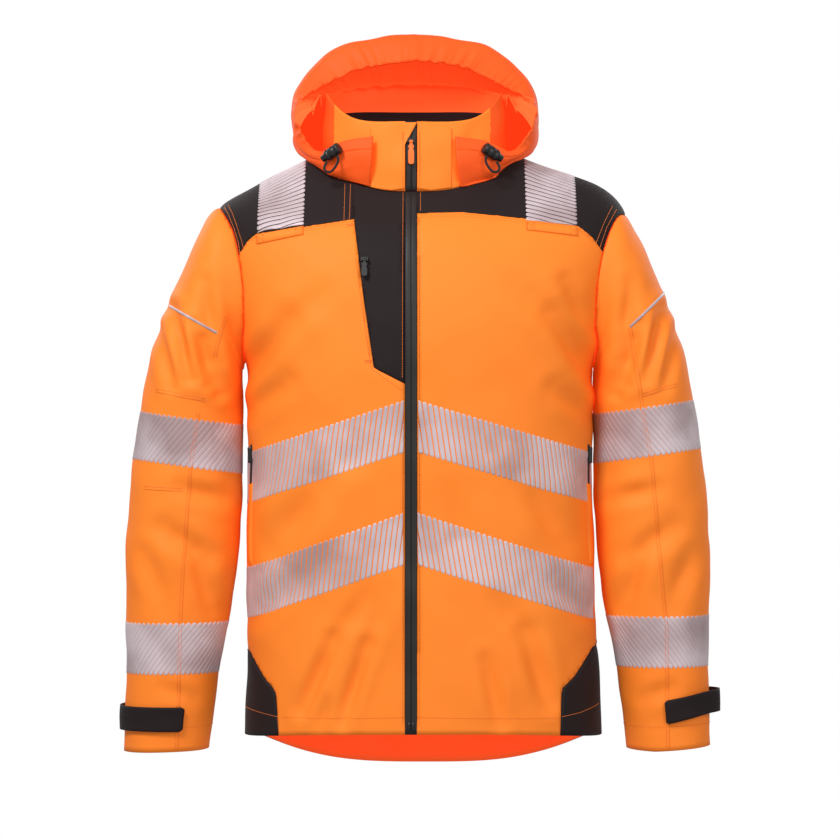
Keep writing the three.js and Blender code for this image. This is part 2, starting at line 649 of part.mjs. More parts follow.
// Hand pocket zips at the sides of the fronts, each with a moulded pull that lies on the cloth
const hand_skin = solidOf(wallGeometry(torso, SEAM, SEAM + HAND_ZIP.thick));
const pull_low = 2 * SEAM + HAND_ZIP.thick;
const pull_skin = solidOf(wallGeometry(torso, pull_low, pull_low + HAND_PULL.thick));
for (const [name, sign] of [['right', -1], ['left', 1]]) {
  const reach = sign > 0 ? [HAND_ZIP.inner_x, FAR] : [-FAR, -HAND_ZIP.inner_x];
  const strip = box(...reach, HAND_ZIP.y0, HAND_ZIP.y1, HAND_ZIP.z0, HAND_ZIP.z1);
  add(`hand_zip_${name}`, geometryOf(hand_skin.intersect(strip)), 'black');
  const pull_top = HAND_ZIP.z1 - HAND_PULL.from_top;
  const pull_y = [HAND_ZIP.y0 + HAND_PULL.inset, HAND_ZIP.y1 - HAND_PULL.inset];
  const pull = box(...reach, ...pull_y, pull_top - HAND_PULL.length, pull_top);
  add(`hand_zip_pull_${name}`, geometryOf(pull_skin.intersect(pull)), 'plastic');
}

// The outline that is turned into a cord lock: a barrel with its push button
function lockProfile() {
  const { radius, half_length, button_radius, button_length, edge } = BARREL;
  return [
    [0, -half_length], [radius - 1, -half_length], [radius, -half_length + edge],
    [radius, half_length - edge], [radius - 1, half_length], [button_radius, half_length],
    [button_radius, half_length + button_length - edge],
    [button_radius - edge, half_length + button_length], [0, half_length + button_length],
  ].map(([r, h]) => new THREE.Vector2(r, h));
}
for (const [side, { turn, rise, sink }] of Object.entries(LOCKS)) {
  const normal = outward(hoodPoint, turn, rise, 1);
  const place = hoodPoint(turn, rise).addScaledVector(normal, BARREL.radius + SEAM - sink);
  const away = side === 'right' ? -1 : 1;
  const barrel = new THREE.LatheGeometry(lockProfile(), 10);
  const lean = new THREE.Vector3(away, 0, -LOCK_TILT).projectOnPlane(normal).normalize();
  barrel.applyQuaternion(new THREE.Quaternion().setFromUnitVectors(new THREE.Vector3(0, 1, 0), lean));
  add(`cord_lock_${side}`, geometryOf(solidOf(barrel)), 'plastic').position.copy(place);
  const route = CORD_ROUTE.map(([x, y, z]) => new THREE.Vector3(away * x, y, z).add(place));
  const ring = new THREE.Shape().absarc(0, 0, CORD_RADIUS, 0, 2 * Math.PI);
  const cord = new THREE.ExtrudeGeometry(ring, {
    steps: 11, curveSegments: 4, bevelEnabled: false, extrudePath: new THREE.CatmullRomCurve3(route),
  });
  add(`cord_loop_${side}`, geometryOf(solidOf(cord)), 'plastic');
}

export default jacket;
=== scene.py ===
# %% [markdown]
# # A hooded hi-vis work jacket
# The jacket is modelled as its maker builds it: cloth panels cut from one worn shape, reflective
# tape laid on them in slanting segments, a long zip, a stand collar and a hood with a gathered brim.
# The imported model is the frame. Everything here is in metres and in the frame's own axes: +X is the
# wearer's left, -Y the front, +Z up.

# %% Load the frame
import math
from functools import partial

import bmesh
import bpy
import numpy as np
from mathutils import Matrix, Vector
from mathutils.bvhtree import BVHTree


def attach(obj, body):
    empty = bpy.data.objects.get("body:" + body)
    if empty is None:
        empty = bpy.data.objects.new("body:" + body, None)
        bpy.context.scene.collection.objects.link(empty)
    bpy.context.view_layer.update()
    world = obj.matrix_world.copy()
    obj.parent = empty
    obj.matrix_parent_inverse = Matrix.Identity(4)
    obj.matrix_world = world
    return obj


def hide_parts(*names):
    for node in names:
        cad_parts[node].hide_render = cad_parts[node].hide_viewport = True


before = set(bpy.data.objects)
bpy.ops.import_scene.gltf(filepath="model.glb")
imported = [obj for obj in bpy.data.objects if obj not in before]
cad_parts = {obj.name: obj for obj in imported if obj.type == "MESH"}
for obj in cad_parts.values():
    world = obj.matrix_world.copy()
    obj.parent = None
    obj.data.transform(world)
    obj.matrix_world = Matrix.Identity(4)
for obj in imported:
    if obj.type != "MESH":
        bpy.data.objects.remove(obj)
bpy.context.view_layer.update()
MM = 0.001
CLOTH = 2.0 * MM
LINING = 0.8 * MM
ZIP_X = -8.0 * MM
ZIP_HALF = 7.0 * MM

# %% [markdown]
# ## Camera and light
# The photograph is a level studio view from about four metres, with an even white light all round.
# A camera with a long lens at that distance keeps the sides as foreshortened as they are there.
# Large soft area lights give the folds their soft sides, and the room is white paper to the camera.

# %% Camera
def put_in_scene(name, data):
    """A new object of a mesh, curve, light or camera."""
    obj = bpy.data.objects.new(name, data)
    bpy.context.scene.collection.objects.link(obj)
    return obj


CAMERA_FAR = 4.0
FRAME_PIXELS = 840
MM_PER_PIXEL = 1.2
VIEW_MIDDLE = Vector((2.4 * MM, 0.0, -312.0 * MM))
camera_data = bpy.data.cameras.new("studio_camera")
camera_data.sensor_width = 36.0
camera_data.lens = camera_data.sensor_width * CAMERA_FAR / (FRAME_PIXELS * MM_PER_PIXEL * MM)
camera = put_in_scene("studio_camera", camera_data)
camera.location = VIEW_MIDDLE + Vector((0.0, -CAMERA_FAR, 0.0))
camera.rotation_euler = (math.radians(90.0), 0.0, 0.0)
bpy.context.scene.camera = camera
print("lens", round(camera_data.lens, 1), "mm")


# %% Studio light
ROOM_LIGHT = 0.42


def area_light(name, place, size, power):
    """A square soft box that faces the jacket's middle."""
    data = bpy.data.lights.new(name, "AREA")
    data.size = size
    data.energy = power
    lamp = put_in_scene(name, data)
    lamp.location = place
    lamp.rotation_euler = (VIEW_MIDDLE - Vector(place)).to_track_quat("-Z", "Y").to_euler()


area_light("key_light", (-1.5, -2.3, 2.2), 1.0, 92.0)
area_light("fill_light", (1.6, -3.2, 0.9), 1.6, 40.0)
area_light("back_light_left", (-1.8, 2.6, 1.3), 1.6, 34.0)
area_light("back_light_right", (1.8, 2.6, 0.9), 1.6, 26.0)

world = bpy.data.worlds.new("studio_world")
bpy.context.scene.world = world
world.use_nodes = True
world_tree = world.node_tree
paper = world_tree.nodes["Background"]
paper.inputs["Color"].default_value = (1.0, 1.0, 1.0, 1.0)
paper.inputs["Strength"].default_value = 1.0
room = world_tree.nodes.new("ShaderNodeBackground")
room.inputs["Color"].default_value = (1.0, 0.985, 0.97, 1.0)
room.inputs["Strength"].default_value = ROOM_LIGHT
ray = world_tree.nodes.new("ShaderNodeLightPath")
either = world_tree.nodes.new("ShaderNodeMixShader")
world_tree.links.new(ray.outputs["Is Camera Ray"], either.inputs["Fac"])
world_tree.links.new(room.outputs[0], either.inputs[1])
world_tree.links.new(paper.outputs[0], either.inputs[2])
world_tree.links.new(either.outputs[0], world_tree.nodes["World Output"].inputs["Surface"])
bpy.context.scene.view_settings.view_transform = "Standard"

# %% [markdown]
# ## The worn shape
# The same rings and sections as in the solids give the cloth's form, worked out here on a finer grid.
# A table has a row for each ring or section, and a smooth curve runs through each of its columns.

# %% Tables of rings, sections and hood strips, in millimetres
# side_z, front_z, back_z, half_width, front, back, shift_x, corner, brow
TORSO_RINGS = np.array([
    [-686, -676, -737, 214, 145, 148, 7, 2.5, 3],  # hem, dropped at the back
    [-610, -606, -640, 211, 146, 147, 6, 2.5, 3],
    [-530, -528, -535, 208, 146, 144, 4, 2.5, 3],  # hip
    [-440, -440, -440, 207, 146, 142, 2, 2.5, 3],
    [-350, -350, -350, 206, 148, 140, 2, 2.5, 3],  # waist
    [-280, -282, -280, 207, 149, 140, 2, 2.5, 3],
    [-235, -240, -232, 210, 149, 141, 2, 2.5, 3],  # armpit
    [-185, -195, -178, 222, 146, 142, 2, 2.4, 3],
    [-130, -148, -120, 237, 138, 138, 3, 2.3, 3],  # chest and shoulder blades
    [-85, -112, -72, 245, 127, 128, 4, 2.2, 3],
    [-56, -88, -40, 240, 114, 112, 4, 2.1, 3],  # shoulder tip
    [-30, -68, -16, 203, 98, 96, 10, 2, 3],
    [-6, -53, 0, 147, 85, 80, 1, 2, 3],
    [9, -43, 12, 112, 76, 70, -3, 2, 3],  # neck seam
])
COLLAR_RINGS = np.array([
    [9.4, -42.6, 12.4, 112, 76, 70, -3, 2, 3],  # neck seam
    [34, -14, 40, 110, 76, 70, -4, 2, 3.5],
    [58, 14, 68, 108, 74, 68, -4, 2, 4.5],
    [80, 40, 94, 105, 71, 66, -5, 2, 5],  # top edge
])
# inner_x, inner_z, outer_x, outer_z, front, back, middle_y
SLEEVE_SECTIONS = np.array([
    [150, -215, 190, -74, 74, 74, 4],  # inside the body, cut off at the armhole
    [204, -240, 238, -57, 78, 80, 2],  # armhole
    [214, -252, 262, -90, 80, 80, 0],
    [215, -261, 283, -136, 78, 78, -2],
    [215, -272, 301, -183, 76, 76, -4],  # upper arm
    [215, -290, 318, -233, 74, 72, -6],
    [215, -319, 330, -290, 71, 69, -8],  # upper tape
    [215, -362, 339, -350, 69, 66, -10],
    [216, -420, 345, -410, 67, 64, -11],  # elbow
    [219, -490, 349, -482, 65, 62, -12],
    [229, -560, 350, -556, 61, 58, -13],  # lower tape
    [239, -620, 351, -618, 57, 55, -14],
    [249, -703, 354, -706, 52, 51, -15],  # cuff
])
# edge x y z, crest x y z, fold x y z, seam angle
HOOD_STRIPS = np.array([
    [50, -76, 22, 51, -79, 4, 52, -78, -16, -62],  # front end beside the zip
    [90, -62, 18, 96, -62, 6, 95, -57, -8, -42],
    [119, -40, 14, 129, -36, 10, 123, -25, 2, -25],
    [139, -26, 32, 147, -10, 26, 138, 6, 8, -8],
    [149, -10, 58, 151, 10, 54, 147, 36, 14, 8],
    [138, -2, 74, 150, 22, 78, 150, 68, 20, 22],
    [117, 2, 87, 140, 26, 98, 146, 98, 22, 36],
    [94, 4, 98, 118, 28, 122, 132, 128, 20, 50],
    [64, 4, 111, 88, 30, 142, 100, 158, 8, 63],
    [32, 2, 117, 46, 32, 151, 54, 178, -6, 77],
    [0, 0, 120, 0, 33, 155, 0, 184, -12, 90],  # top of the brim
])
SLEEVE_BEND = 0.92
HOOD_SHIFT = -5.0
BRIM_SHARE = 0.25


# %% Curves through the tables
def along(rows, place):
    """Every column of a table at places from 0 to 1, on smooth curves through its rows."""
    last = len(rows) - 1
    scaled = np.clip(place, 0.0, 1.0) * last
    i = np.minimum(np.floor(scaled).astype(int), last - 1)
    t = (scaled - i)[..., None]
    at = lambda k: rows[np.clip(k, 0, last)]
    slope = lambda k: (at(k + 1) - at(k - 1)) / np.where((k > 0) & (k < last), 2.0, 1.0)[..., None]
    t2, t3 = t * t, t * t * t
    curve = (2 * t3 - 3 * t2 + 1) * at(i) + (t3 - 2 * t2 + t) * slope(i)
    curve += (3 * t2 - 2 * t3) * at(i + 1) + (t3 - t2) * slope(i + 1)
    return np.moveaxis(curve, -1, 0)


def bent(value, power):
    return np.sign(value) * np.abs(value) ** power


def ring_points(rows, turn, rise):
    """Points of the body or collar; turn goes round from the wearer's left by the back."""
    side_z, front_z, back_z, half_width, front, back, shift_x, corner, brow = along(rows, rise)
    across = bent(np.cos(2 * np.pi * turn), 2 / corner)
    deep = bent(np.sin(2 * np.pi * turn), 2 / corner)
    middle_z = np.where(deep < 0, front_z, back_z)
    z = middle_z + (side_z - middle_z) * np.abs(across) ** brow
    y = deep * np.where(deep < 0, front, back)
    return np.stack([shift_x + half_width * across, y, z], axis=-1) * MM


def torso_points(turn, rise):
    return ring_points(TORSO_RINGS, turn, rise)


def collar_points(turn, rise):
    return ring_points(COLLAR_RINGS, turn, rise)


def sleeve_points(side, turn, rise):
    """Points of a sleeve, from inside the armhole to the cuff; side is 1 for the left sleeve."""
    inner_x, inner_z, outer_x, outer_z, front, back, middle_y = along(SLEEVE_SECTIONS, rise)
    across = bent(np.cos(2 * np.pi * turn), SLEEVE_BEND)
    deep = bent(np.sin(2 * np.pi * turn), SLEEVE_BEND)
    x = side * (inner_x + (outer_x - inner_x) * (1 + across) / 2)
    z = inner_z + (outer_z - inner_z) * (1 + across) / 2
    y = middle_y + deep * np.where(deep < 0, front, back)
    return np.stack([x, y, z], axis=-1) * MM


def path_point(points, place):
    """A point of the curve through several points, with knots at the roots of their distances."""
    spans = len(points) - 1
    stack = np.stack([2 * points[0] - points[1], *points, 2 * points[-1] - points[-2]])
    scaled = np.clip(place, 0.0, 1.0) * spans
    i = np.minimum(np.floor(scaled).astype(int), spans - 1)
    t = (scaled - i)[..., None]
    pick = lambda k: np.take_along_axis(stack, (i + k)[None, ..., None], axis=0)[0]
    p0, p1, p2, p3 = pick(0), pick(1), pick(2), pick(3)
    knot = lambda a, b: np.maximum(np.sqrt(np.linalg.norm(b - a, axis=-1, keepdims=True)), 1e-6)
    d0, d1, d2 = knot(p0, p1), knot(p1, p2), knot(p2, p3)
    m1 = ((p1 - p0) / d0 - (p2 - p0) / (d0 + d1) + (p2 - p1) / d1) * d1
    m2 = ((p2 - p1) / d1 - (p3 - p1) / (d1 + d2) + (p3 - p2) / d2) * d1
    c2 = -3 * p1 + 3 * p2 - 2 * m1 - m2
    c3 = 2 * p1 - 2 * p2 + m1 + m2
    return p1 + m1 * t + c2 * t**2 + c3 * t**3


def hood_points(turn, rise):
    """Points of the hood: turn from its right front end to its left, rise from brim to neck seam."""
    side = np.where(turn < 0.5, -1.0, 1.0)
    columns = along(HOOD_STRIPS, 1 - np.abs(2 * turn - 1))
    spot = lambda k: np.stack([side * columns[k] + HOOD_SHIFT, columns[k + 1], columns[k + 2]], axis=-1)
    angle = np.where(side > 0, columns[9], 180 - columns[9])
    seam = ring_points(COLLAR_RINGS, angle / 360, np.zeros_like(angle)) / MM
    out = np.radians(angle)
    seam = seam + np.stack([np.cos(out) * 2.6, np.sin(out) * 2.6, np.full_like(out, 0.6)], axis=-1)
    brim = np.minimum(rise, BRIM_SHARE) / BRIM_SHARE
    crown = np.clip((rise - BRIM_SHARE) / (1 - 2 * BRIM_SHARE), 0, 1)
    under = np.clip((rise - 1 + BRIM_SHARE) / BRIM_SHARE, 0, 1)
    return path_point([spot(0), spot(3), spot(6), seam], (brim + crown + under) / 3) * MM


print("chest half width", torso_points(np.array([0.0]), np.array([0.62]))[0].round(3))

# %% [markdown]
# ## Folds and drape
# Stiff coated cloth hangs in a few long soft troughs: from the armpits towards the chest, between
# the tapes, at the elbows and above the hem. Each is given as a line in the front view with
# its own width and depth. A slow ripple over everything keeps the cloth between them from looking
# moulded. Moving points along their normals keeps every crease a real shape rather than a bump.

# %% Fold tables, in millimetres: x, z, to_x, to_z, face (-1 front, 1 back), width, depth
TORSO_FOLDS = np.array([
    [-135, -650, -98, -566, -1, 9, 4.2],
    [-98, -566, -60, -520, -1, 11, 2.0],
    [-88, -662, -58, -570, -1, 8, 4.2],
    [-58, -570, -34, -512, -1, 11, 2.2],
    [-112, -668, -106, -640, -1, 8, 1.6],
    [-166, -460, -118, -392, -1, 18, 4.4],
    [-190, -545, -150, -500, -1, 13, 2.6],
    [-60, -540, -36, -470, -1, 16, 1.8],
    [-206, -262, -150, -196, -1, 13, 3.6],
    [-150, -196, -112, -166, -1, 16, 1.8],
    [-196, -300, -150, -268, -1, 12, 2.4],
    [-100, -372, -60, -350, -1, 16, 1.6],
    [152, -640, 126, -560, -1, 12, 4.2],
    [126, -560, 96, -520, -1, 13, 2.0],
    [96, -664, 78, -590, -1, 9, 3.0],
    [170, -450, 130, -380, -1, 18, 3.8],
    [196, -540, 160, -500, -1, 12, 2.4],
    [208, -262, 158, -190, -1, 13, 4.0],
    [200, -205, 172, -150, -1, 10, 2.4],
    [158, -190, 116, -160, -1, 16, 1.8],
    [198, -306, 160, -274, -1, 11, 2.2],
    [60, -470, 36, -400, -1, 18, 1.6],
    [-120, -600, -60, -500, 1, 22, 4.4],
    [120, -600, 60, -500, 1, 22, 4.4],
    [-150, -300, -80, -220, 1, 20, 4.6],
    [150, -300, 80, -220, 1, 20, 4.6],
    [-190, -260, -130, -180, 1, 14, 3.0],
    [190, -260, 130, -180, 1, 14, 3.0],
    [-60, -700, -30, -640, 1, 16, 2.6],
    [50, -690, 80, -640, 1, 16, 2.4],
    [-160, -440, -110, -400, 1, 16, 2.6],
    [165, -450, 110, -400, 1, 16, 2.6],
], dtype=float)
SLEEVE_FOLDS = np.array([
    [268, -262, 290, -180, -1, 8, 4.6],
    [250, -270, 262, -200, -1, 7, 3.6],
    [236, -280, 250, -218, -1, 8, 4.0],
    [290, -272, 304, -206, -1, 8, 3.0],
    [244, -240, 250, -150, -1, 9, 2.6],
    [234, -405, 280, -392, -1, 10, 2.6],
    [250, -470, 300, -440, -1, 13, 3.4],
    [244, -535, 262, -470, -1, 10, 3.0],
    [300, -530, 322, -470, -1, 12, 2.2],
    [268, -640, 300, -628, -1, 9, 1.8],
    [268, -250, 290, -180, 1, 12, 5.0],
    [240, -300, 262, -240, 1, 11, 4.0],
    [250, -430, 310, -400, 1, 13, 4.4],
    [262, -540, 320, -500, 1, 13, 3.6],
    [250, -390, 300, -378, 1, 9, 2.6],
], dtype=float)


# %% Pressing the folds into a surface
FOLD_SHARE = 2.0  # deepens every fold in the tables


def fold_depth(folds, places):
    """How far, in metres, the folds press each point in."""
    depth = np.zeros(places.shape[:-1])
    x, z = places[..., 0] / MM, places[..., 2] / MM
    for fold_x, fold_z, to_x, to_z, face, width, deep in folds:
        run_x, run_z = to_x - fold_x, to_z - fold_z
        share = ((x - fold_x) * run_x + (z - fold_z) * run_z) / (run_x**2 + run_z**2)
        share = np.clip(share, 0, 1)
        gap = np.hypot(x - fold_x - share * run_x, z - fold_z - share * run_z)
        taper = 0.35 + 0.65 * np.sin(np.pi * np.clip(share, 0.05, 0.95))
        side = 1 / (1 + np.exp(-places[..., 1] * face / (12 * MM)))
        trough = np.exp(-((gap / width) ** 2))
        banks = 0.45 * np.exp(-(((gap - 1.7 * width) / width) ** 2))
        depth += deep * taper * side * (trough - banks)
    return depth * MM * FOLD_SHARE


def ripple(places, length, height, shift):
    """A slow unevenness of the cloth, about length across."""
    k = 2 * np.pi / length
    x, y, z = places[..., 0], places[..., 1], places[..., 2]
    first = np.sin(k * (0.9 * x + 0.5 * z) + shift) * np.sin(k * (0.7 * z - 0.6 * y) + 1.3 * shift)
    second = np.sin(k * 1.9 * (0.4 * x - 0.8 * z + 0.5 * y) + 2.1 * shift)
    return height * (0.7 * first + 0.3 * second)


def pressed(points, flip, turn, rise, folds=None, ripples=()):
    """Places and outward normals of a surface, with its folds and ripples in it."""
    step = 0.002
    place = points(turn, rise)
    around = points(turn + step, rise) - points(turn - step, rise)
    upward = points(turn, np.minimum(rise + step, 1)) - points(turn, np.maximum(rise - step, 0))
    normal = np.cross(around, upward) * flip
    normal /= np.maximum(np.linalg.norm(normal, axis=-1, keepdims=True), 1e-12)
    if folds is not None:
        place = place - normal * fold_depth(folds, place)[..., None]
    for spread, height, shift in ripples:
        place = place + normal * ripple(place, spread, height, shift)[..., None]
    return place, normal


def make_surface(skin, flip, turns, rises, closed, girth, length):
    """A grid of places on a skin, and the size of its cloth coordinates in metres."""
    turn = np.arange(turns if closed else turns + 1) / turns
    turn, rise = np.meshgrid(turn, np.linspace(0, 1, rises + 1))
    place, _ = skin(turn, rise)
    return {"place": place, "closed": closed, "flip": flip, "girth": girth, "length": length}


def grid_mesh(name, surface):
    """A one-layer mesh of a surface, with its cloth coordinates in metres as UVs."""
    place = surface["place"]
    rows, columns = place.shape[:2]
    spans = columns if surface["closed"] else columns - 1
    j, i = np.meshgrid(np.arange(rows - 1), np.arange(spans), indexing="ij")
    j, i = j.ravel(), i.ravel()
    corners = [(j, i), (j, i + 1), (j + 1, i + 1), (j + 1, i)]
    if surface["flip"] < 0:
        corners.reverse()
    faces = np.stack([row * columns + column % columns for row, column in corners], axis=1)
    mesh = bpy.data.meshes.new(name)
    mesh.from_pydata(place.reshape(-1, 3).tolist(), [], faces.tolist())
    u = np.stack([column for _, column in corners], axis=1) / spans * surface["girth"]
    v = np.stack([row for row, _ in corners], axis=1) / (rows - 1) * surface["length"]
    layer = mesh.uv_layers.new(name="cloth")
    layer.data.foreach_set("uv", np.stack([u, v], axis=-1).ravel())
    return mesh


def tree_of(mesh):
    """A search tree of a mesh, for what lies on it."""
    mesh.calc_loop_triangles()
    places = [v.co.copy() for v in mesh.vertices]
    return BVHTree.FromPolygons(places, [tuple(t.vertices) for t in mesh.loop_triangles])


# %% Body and sleeves on their fine grids
TORSO_RIPPLES = [(0.21, 1.3 * MM, 0.4), (0.085, 0.45 * MM, 2.0)]
SIDES = {"right": -1, "left": 1}
SLEEVE_FULLER = 4.5 * MM  # on the side that faces the body
FOREARM_SLIMMER = {-1: 2.2 * MM, 1: 4.5 * MM}  # on the outer side, down to the cuff
LEFT_CUFF_RISE = 9.0 * MM


def torso_skin(turn, rise):
    return pressed(torso_points, 1, turn, rise, TORSO_FOLDS, TORSO_RIPPLES)


def sleeve_skin(side, turn, rise):
    """The sleeve's places and normals; its folds are mirrored and its ripple differs by side."""
    folds = SLEEVE_FOLDS.copy()
    folds[:, [0, 2]] *= side
    ripples = [(0.13, 1.1 * MM, 1.0 + side), (0.06, 0.4 * MM, 3.0 + side)]
    place, normal = pressed(lambda t, r: sleeve_points(side, t, r), -side, turn, rise, folds, ripples)
    height = place[..., 2] / MM
    near = np.clip(-normal[..., 0] * side, 0, 1) ** 2
    level = np.clip((-175 - height) / 60, 0, 1) * np.clip((height + 560) / 160, 0, 1)
    place[..., 0] -= side * SLEEVE_FULLER * near * level
    away = np.clip(normal[..., 0] * side, 0, 1) * np.clip((-460 - height) / 150, 0, 1)
    place[..., 0] -= side * FOREARM_SLIMMER[side] * away
    if side > 0:
        out = np.clip((place[..., 0] / MM - 280) / 75, 0, 1)
        place[..., 2] += LEFT_CUFF_RISE * out * np.clip((-640 - height) / 75, 0, 1)
    return place, normal


SLEEVE_FORM = {name: partial(sleeve_points, side) for name, side in SIDES.items()}
SLEEVE_SKIN = {name: partial(sleeve_skin, side) for name, side in SIDES.items()}
torso_mesh = grid_mesh("torso_grid", make_surface(torso_skin, 1, 250, 150, True, 1.19, 0.72))
sleeve_meshes = {}
for name, side in SIDES.items():
    surface = make_surface(SLEEVE_SKIN[name], -side, 96, 150, True, 0.42, 0.64)
    sleeve_meshes[name] = grid_mesh("sleeve_grid", surface)
torso_tree = tree_of(torso_mesh)
sleeve_trees = {name: tree_of(mesh) for name, mesh in sleeve_meshes.items()}
print("torso faces", len(torso_mesh.polygons))

# %% [markdown]
# ## Materials
# The shell is a coated oxford cloth: a small plain weave under a dull sheen. Fluorescent orange sends
# back more light than it gets, so a little emission of its own colour goes into the shader. The weave
# and the soft mottling of a coated cloth are shader groups that every cloth shares, and the weave's
# height darkens the colour a little as painted shade. Each group puts out values only, and the shader
# stays in the material.

# %% Shader groups
def new_group(name, inputs, outputs):
    """An empty shader group with named float inputs and named outputs."""
    group = bpy.data.node_groups.new(name, "ShaderNodeTree")
    for socket, default in inputs.items():
        item = group.interface.new_socket(socket, in_out="INPUT", socket_type="NodeSocketFloat")
        item.default_value = default
    for socket in outputs:
        group.interface.new_socket(socket, in_out="OUTPUT", socket_type="NodeSocketFloat")
    return group, group.nodes.new("NodeGroupInput"), group.nodes.new("NodeGroupOutput")


def join(tree, source, target):
    tree.links.new(source, target)


def math_node(tree, operation, first, second):
    """A math node fed by sockets or numbers."""
    node = tree.nodes.new("ShaderNodeMath")
    node.operation = operation
    for socket, value in zip(node.inputs, (first, second)):
        if isinstance(value, (int, float)):
            socket.default_value = value
        else:
            join(tree, value, socket)
    return node.outputs[0]


def make_weave_group():
    """Threads over and under along the cloth's own coordinates."""
    group, given, out = new_group("plain_weave", {"Threads per metre": 1600.0}, ["Height"])
    place = group.nodes.new("ShaderNodeUVMap")
    split = group.nodes.new("ShaderNodeSeparateXYZ")
    join(group, place.outputs["UV"], split.inputs[0])
    waves = []
    for axis in ("X", "Y"):
        turns = math_node(group, "MULTIPLY", split.outputs[axis], given.outputs[0])
        waves.append(math_node(group, "SINE", math_node(group, "MULTIPLY", turns, math.tau / 2), 0.0))
    crossing = math_node(group, "MULTIPLY", waves[0], waves[1])
    height = math_node(group, "MULTIPLY_ADD", crossing, 0.5)
    height.node.inputs[2].default_value = 0.5
    join(group, height, out.inputs["Height"])
    return group


def make_mottle_group():
    """Uneven light and dark over the cloth, in large soft patches and in small ones."""
    scales = {"Patch scale": 9.0, "Grain scale": 260.0}
    group, given, out = new_group("soft_mottle", scales, ["Patches", "Grain"])
    place = group.nodes.new("ShaderNodeTexCoord")
    for output, socket in (("Patches", 0), ("Grain", 1)):
        texture = group.nodes.new("ShaderNodeTexNoise")
        texture.inputs["Detail"].default_value = 3.0
        join(group, place.outputs["Object"], texture.inputs["Vector"])
        join(group, given.outputs[socket], texture.inputs["Scale"])
        join(group, texture.outputs["Fac"], out.inputs[output])
    return group


WEAVE = make_weave_group()
MOTTLE = make_mottle_group()


# %% Cloth material
def mixed(tree, kind, factor, first, second):
    """A colour mix whose factor is a socket or a number."""
    node = tree.nodes.new("ShaderNodeMix")
    node.data_type = "RGBA"
    node.blend_type = kind
    if isinstance(factor, (int, float)):
        node.inputs["Factor"].default_value = factor
    else:
        join(tree, factor, node.inputs["Factor"])
    for socket, value in ((node.inputs["A"], first), (node.inputs["B"], second)):
        if isinstance(value, tuple):
            socket.default_value = (*value, 1.0)
        else:
            join(tree, value, socket)
    return node.outputs["Result"]


def cloth_material(name, color, deep_color, roughness, threads=1600.0, glow=0.0, sheen=0.2,
                   weave_depth=0.12, nap=(1.0, 0.12, 0.02)):
    """Woven cloth: soft mottling over a fine weave with a little painted shade from its height, and a faint
    nap of its own colour.
    """
    material = bpy.data.materials.new(name)
    material.use_nodes = True
    tree = material.node_tree
    shader = tree.nodes["Principled BSDF"]
    mottle = tree.nodes.new("ShaderNodeGroup")
    mottle.node_tree = MOTTLE
    weave = tree.nodes.new("ShaderNodeGroup")
    weave.node_tree = WEAVE
    weave.inputs["Threads per metre"].default_value = threads
    base = mixed(tree, "MIX", mottle.outputs["Patches"], deep_color, color)
    # Painted shade: the weave's height darkens the colour a little, towards a darker copy of it.
    dark = tuple(0.72 * channel for channel in color)
    shade = math_node(tree, "MULTIPLY", weave.outputs["Height"], 0.18)
    base = mixed(tree, "MIX", shade, base, dark)
    join(tree, base, shader.inputs["Base Color"])
    height = math_node(tree, "MULTIPLY_ADD", mottle.outputs["Grain"], 0.6)
    join(tree, weave.outputs["Height"], height.node.inputs[2])
    bump = tree.nodes.new("ShaderNodeBump")
    bump.inputs["Strength"].default_value = weave_depth
    bump.inputs["Distance"].default_value = 0.0004
    join(tree, height, bump.inputs["Height"])
    join(tree, bump.outputs["Normal"], shader.inputs["Normal"])
    shader.inputs["Roughness"].default_value = roughness
    shader.inputs["Sheen Weight"].default_value = sheen
    shader.inputs["Sheen Roughness"].default_value = 0.45
    shader.inputs["Sheen Tint"].default_value = (*nap, 1.0)
    shader.inputs["Specular IOR Level"].default_value = 0.25
    if glow:
        join(tree, base, shader.inputs["Emission Color"])
        shader.inputs["Emission Strength"].default_value = glow
    return material


ORANGE = cloth_material("orange_shell", (1.0, 0.262, 0.026), (1.0, 0.215, 0.016), 0.62, glow=0.06)
# A redder copy of the shell orange with a strong emission: painted shade in its colour and a painted glow,
# for the cloth's insides and the fold behind the collar.
ORANGE_PAINTED_SHADE_GLOW = cloth_material("orange_inside", (1.0, 0.125, 0.022), (1.0, 0.105, 0.018), 0.7, glow=0.34)
# A deeper orange for the hood's outside and the collar's sides: painted shade, a shaded copy of the shell
# orange.
HOOD_ORANGE_PAINTED_SHADE = cloth_material("hood_orange_painted_shade", (1.0, 0.118, 0.011), (1.0, 0.092, 0.008), 0.62, glow=0.06)
BLACK = cloth_material("black_shell", (0.016, 0.0075, 0.0082), (0.010, 0.005, 0.006), 0.7,
                       weave_depth=0.3, sheen=0.03, nap=(1, 1, 1))
BLACK_LINING = cloth_material("black_lining", (0.010, 0.006, 0.007), (0.007, 0.004, 0.005), 0.85,
                              threads=900.0, sheen=0.03, nap=(1, 1, 1))
print("cloth materials", [m.name for m in (ORANGE, ORANGE_PAINTED_SHADE_GLOW, HOOD_ORANGE_PAINTED_SHADE, BLACK, BLACK_LINING)])


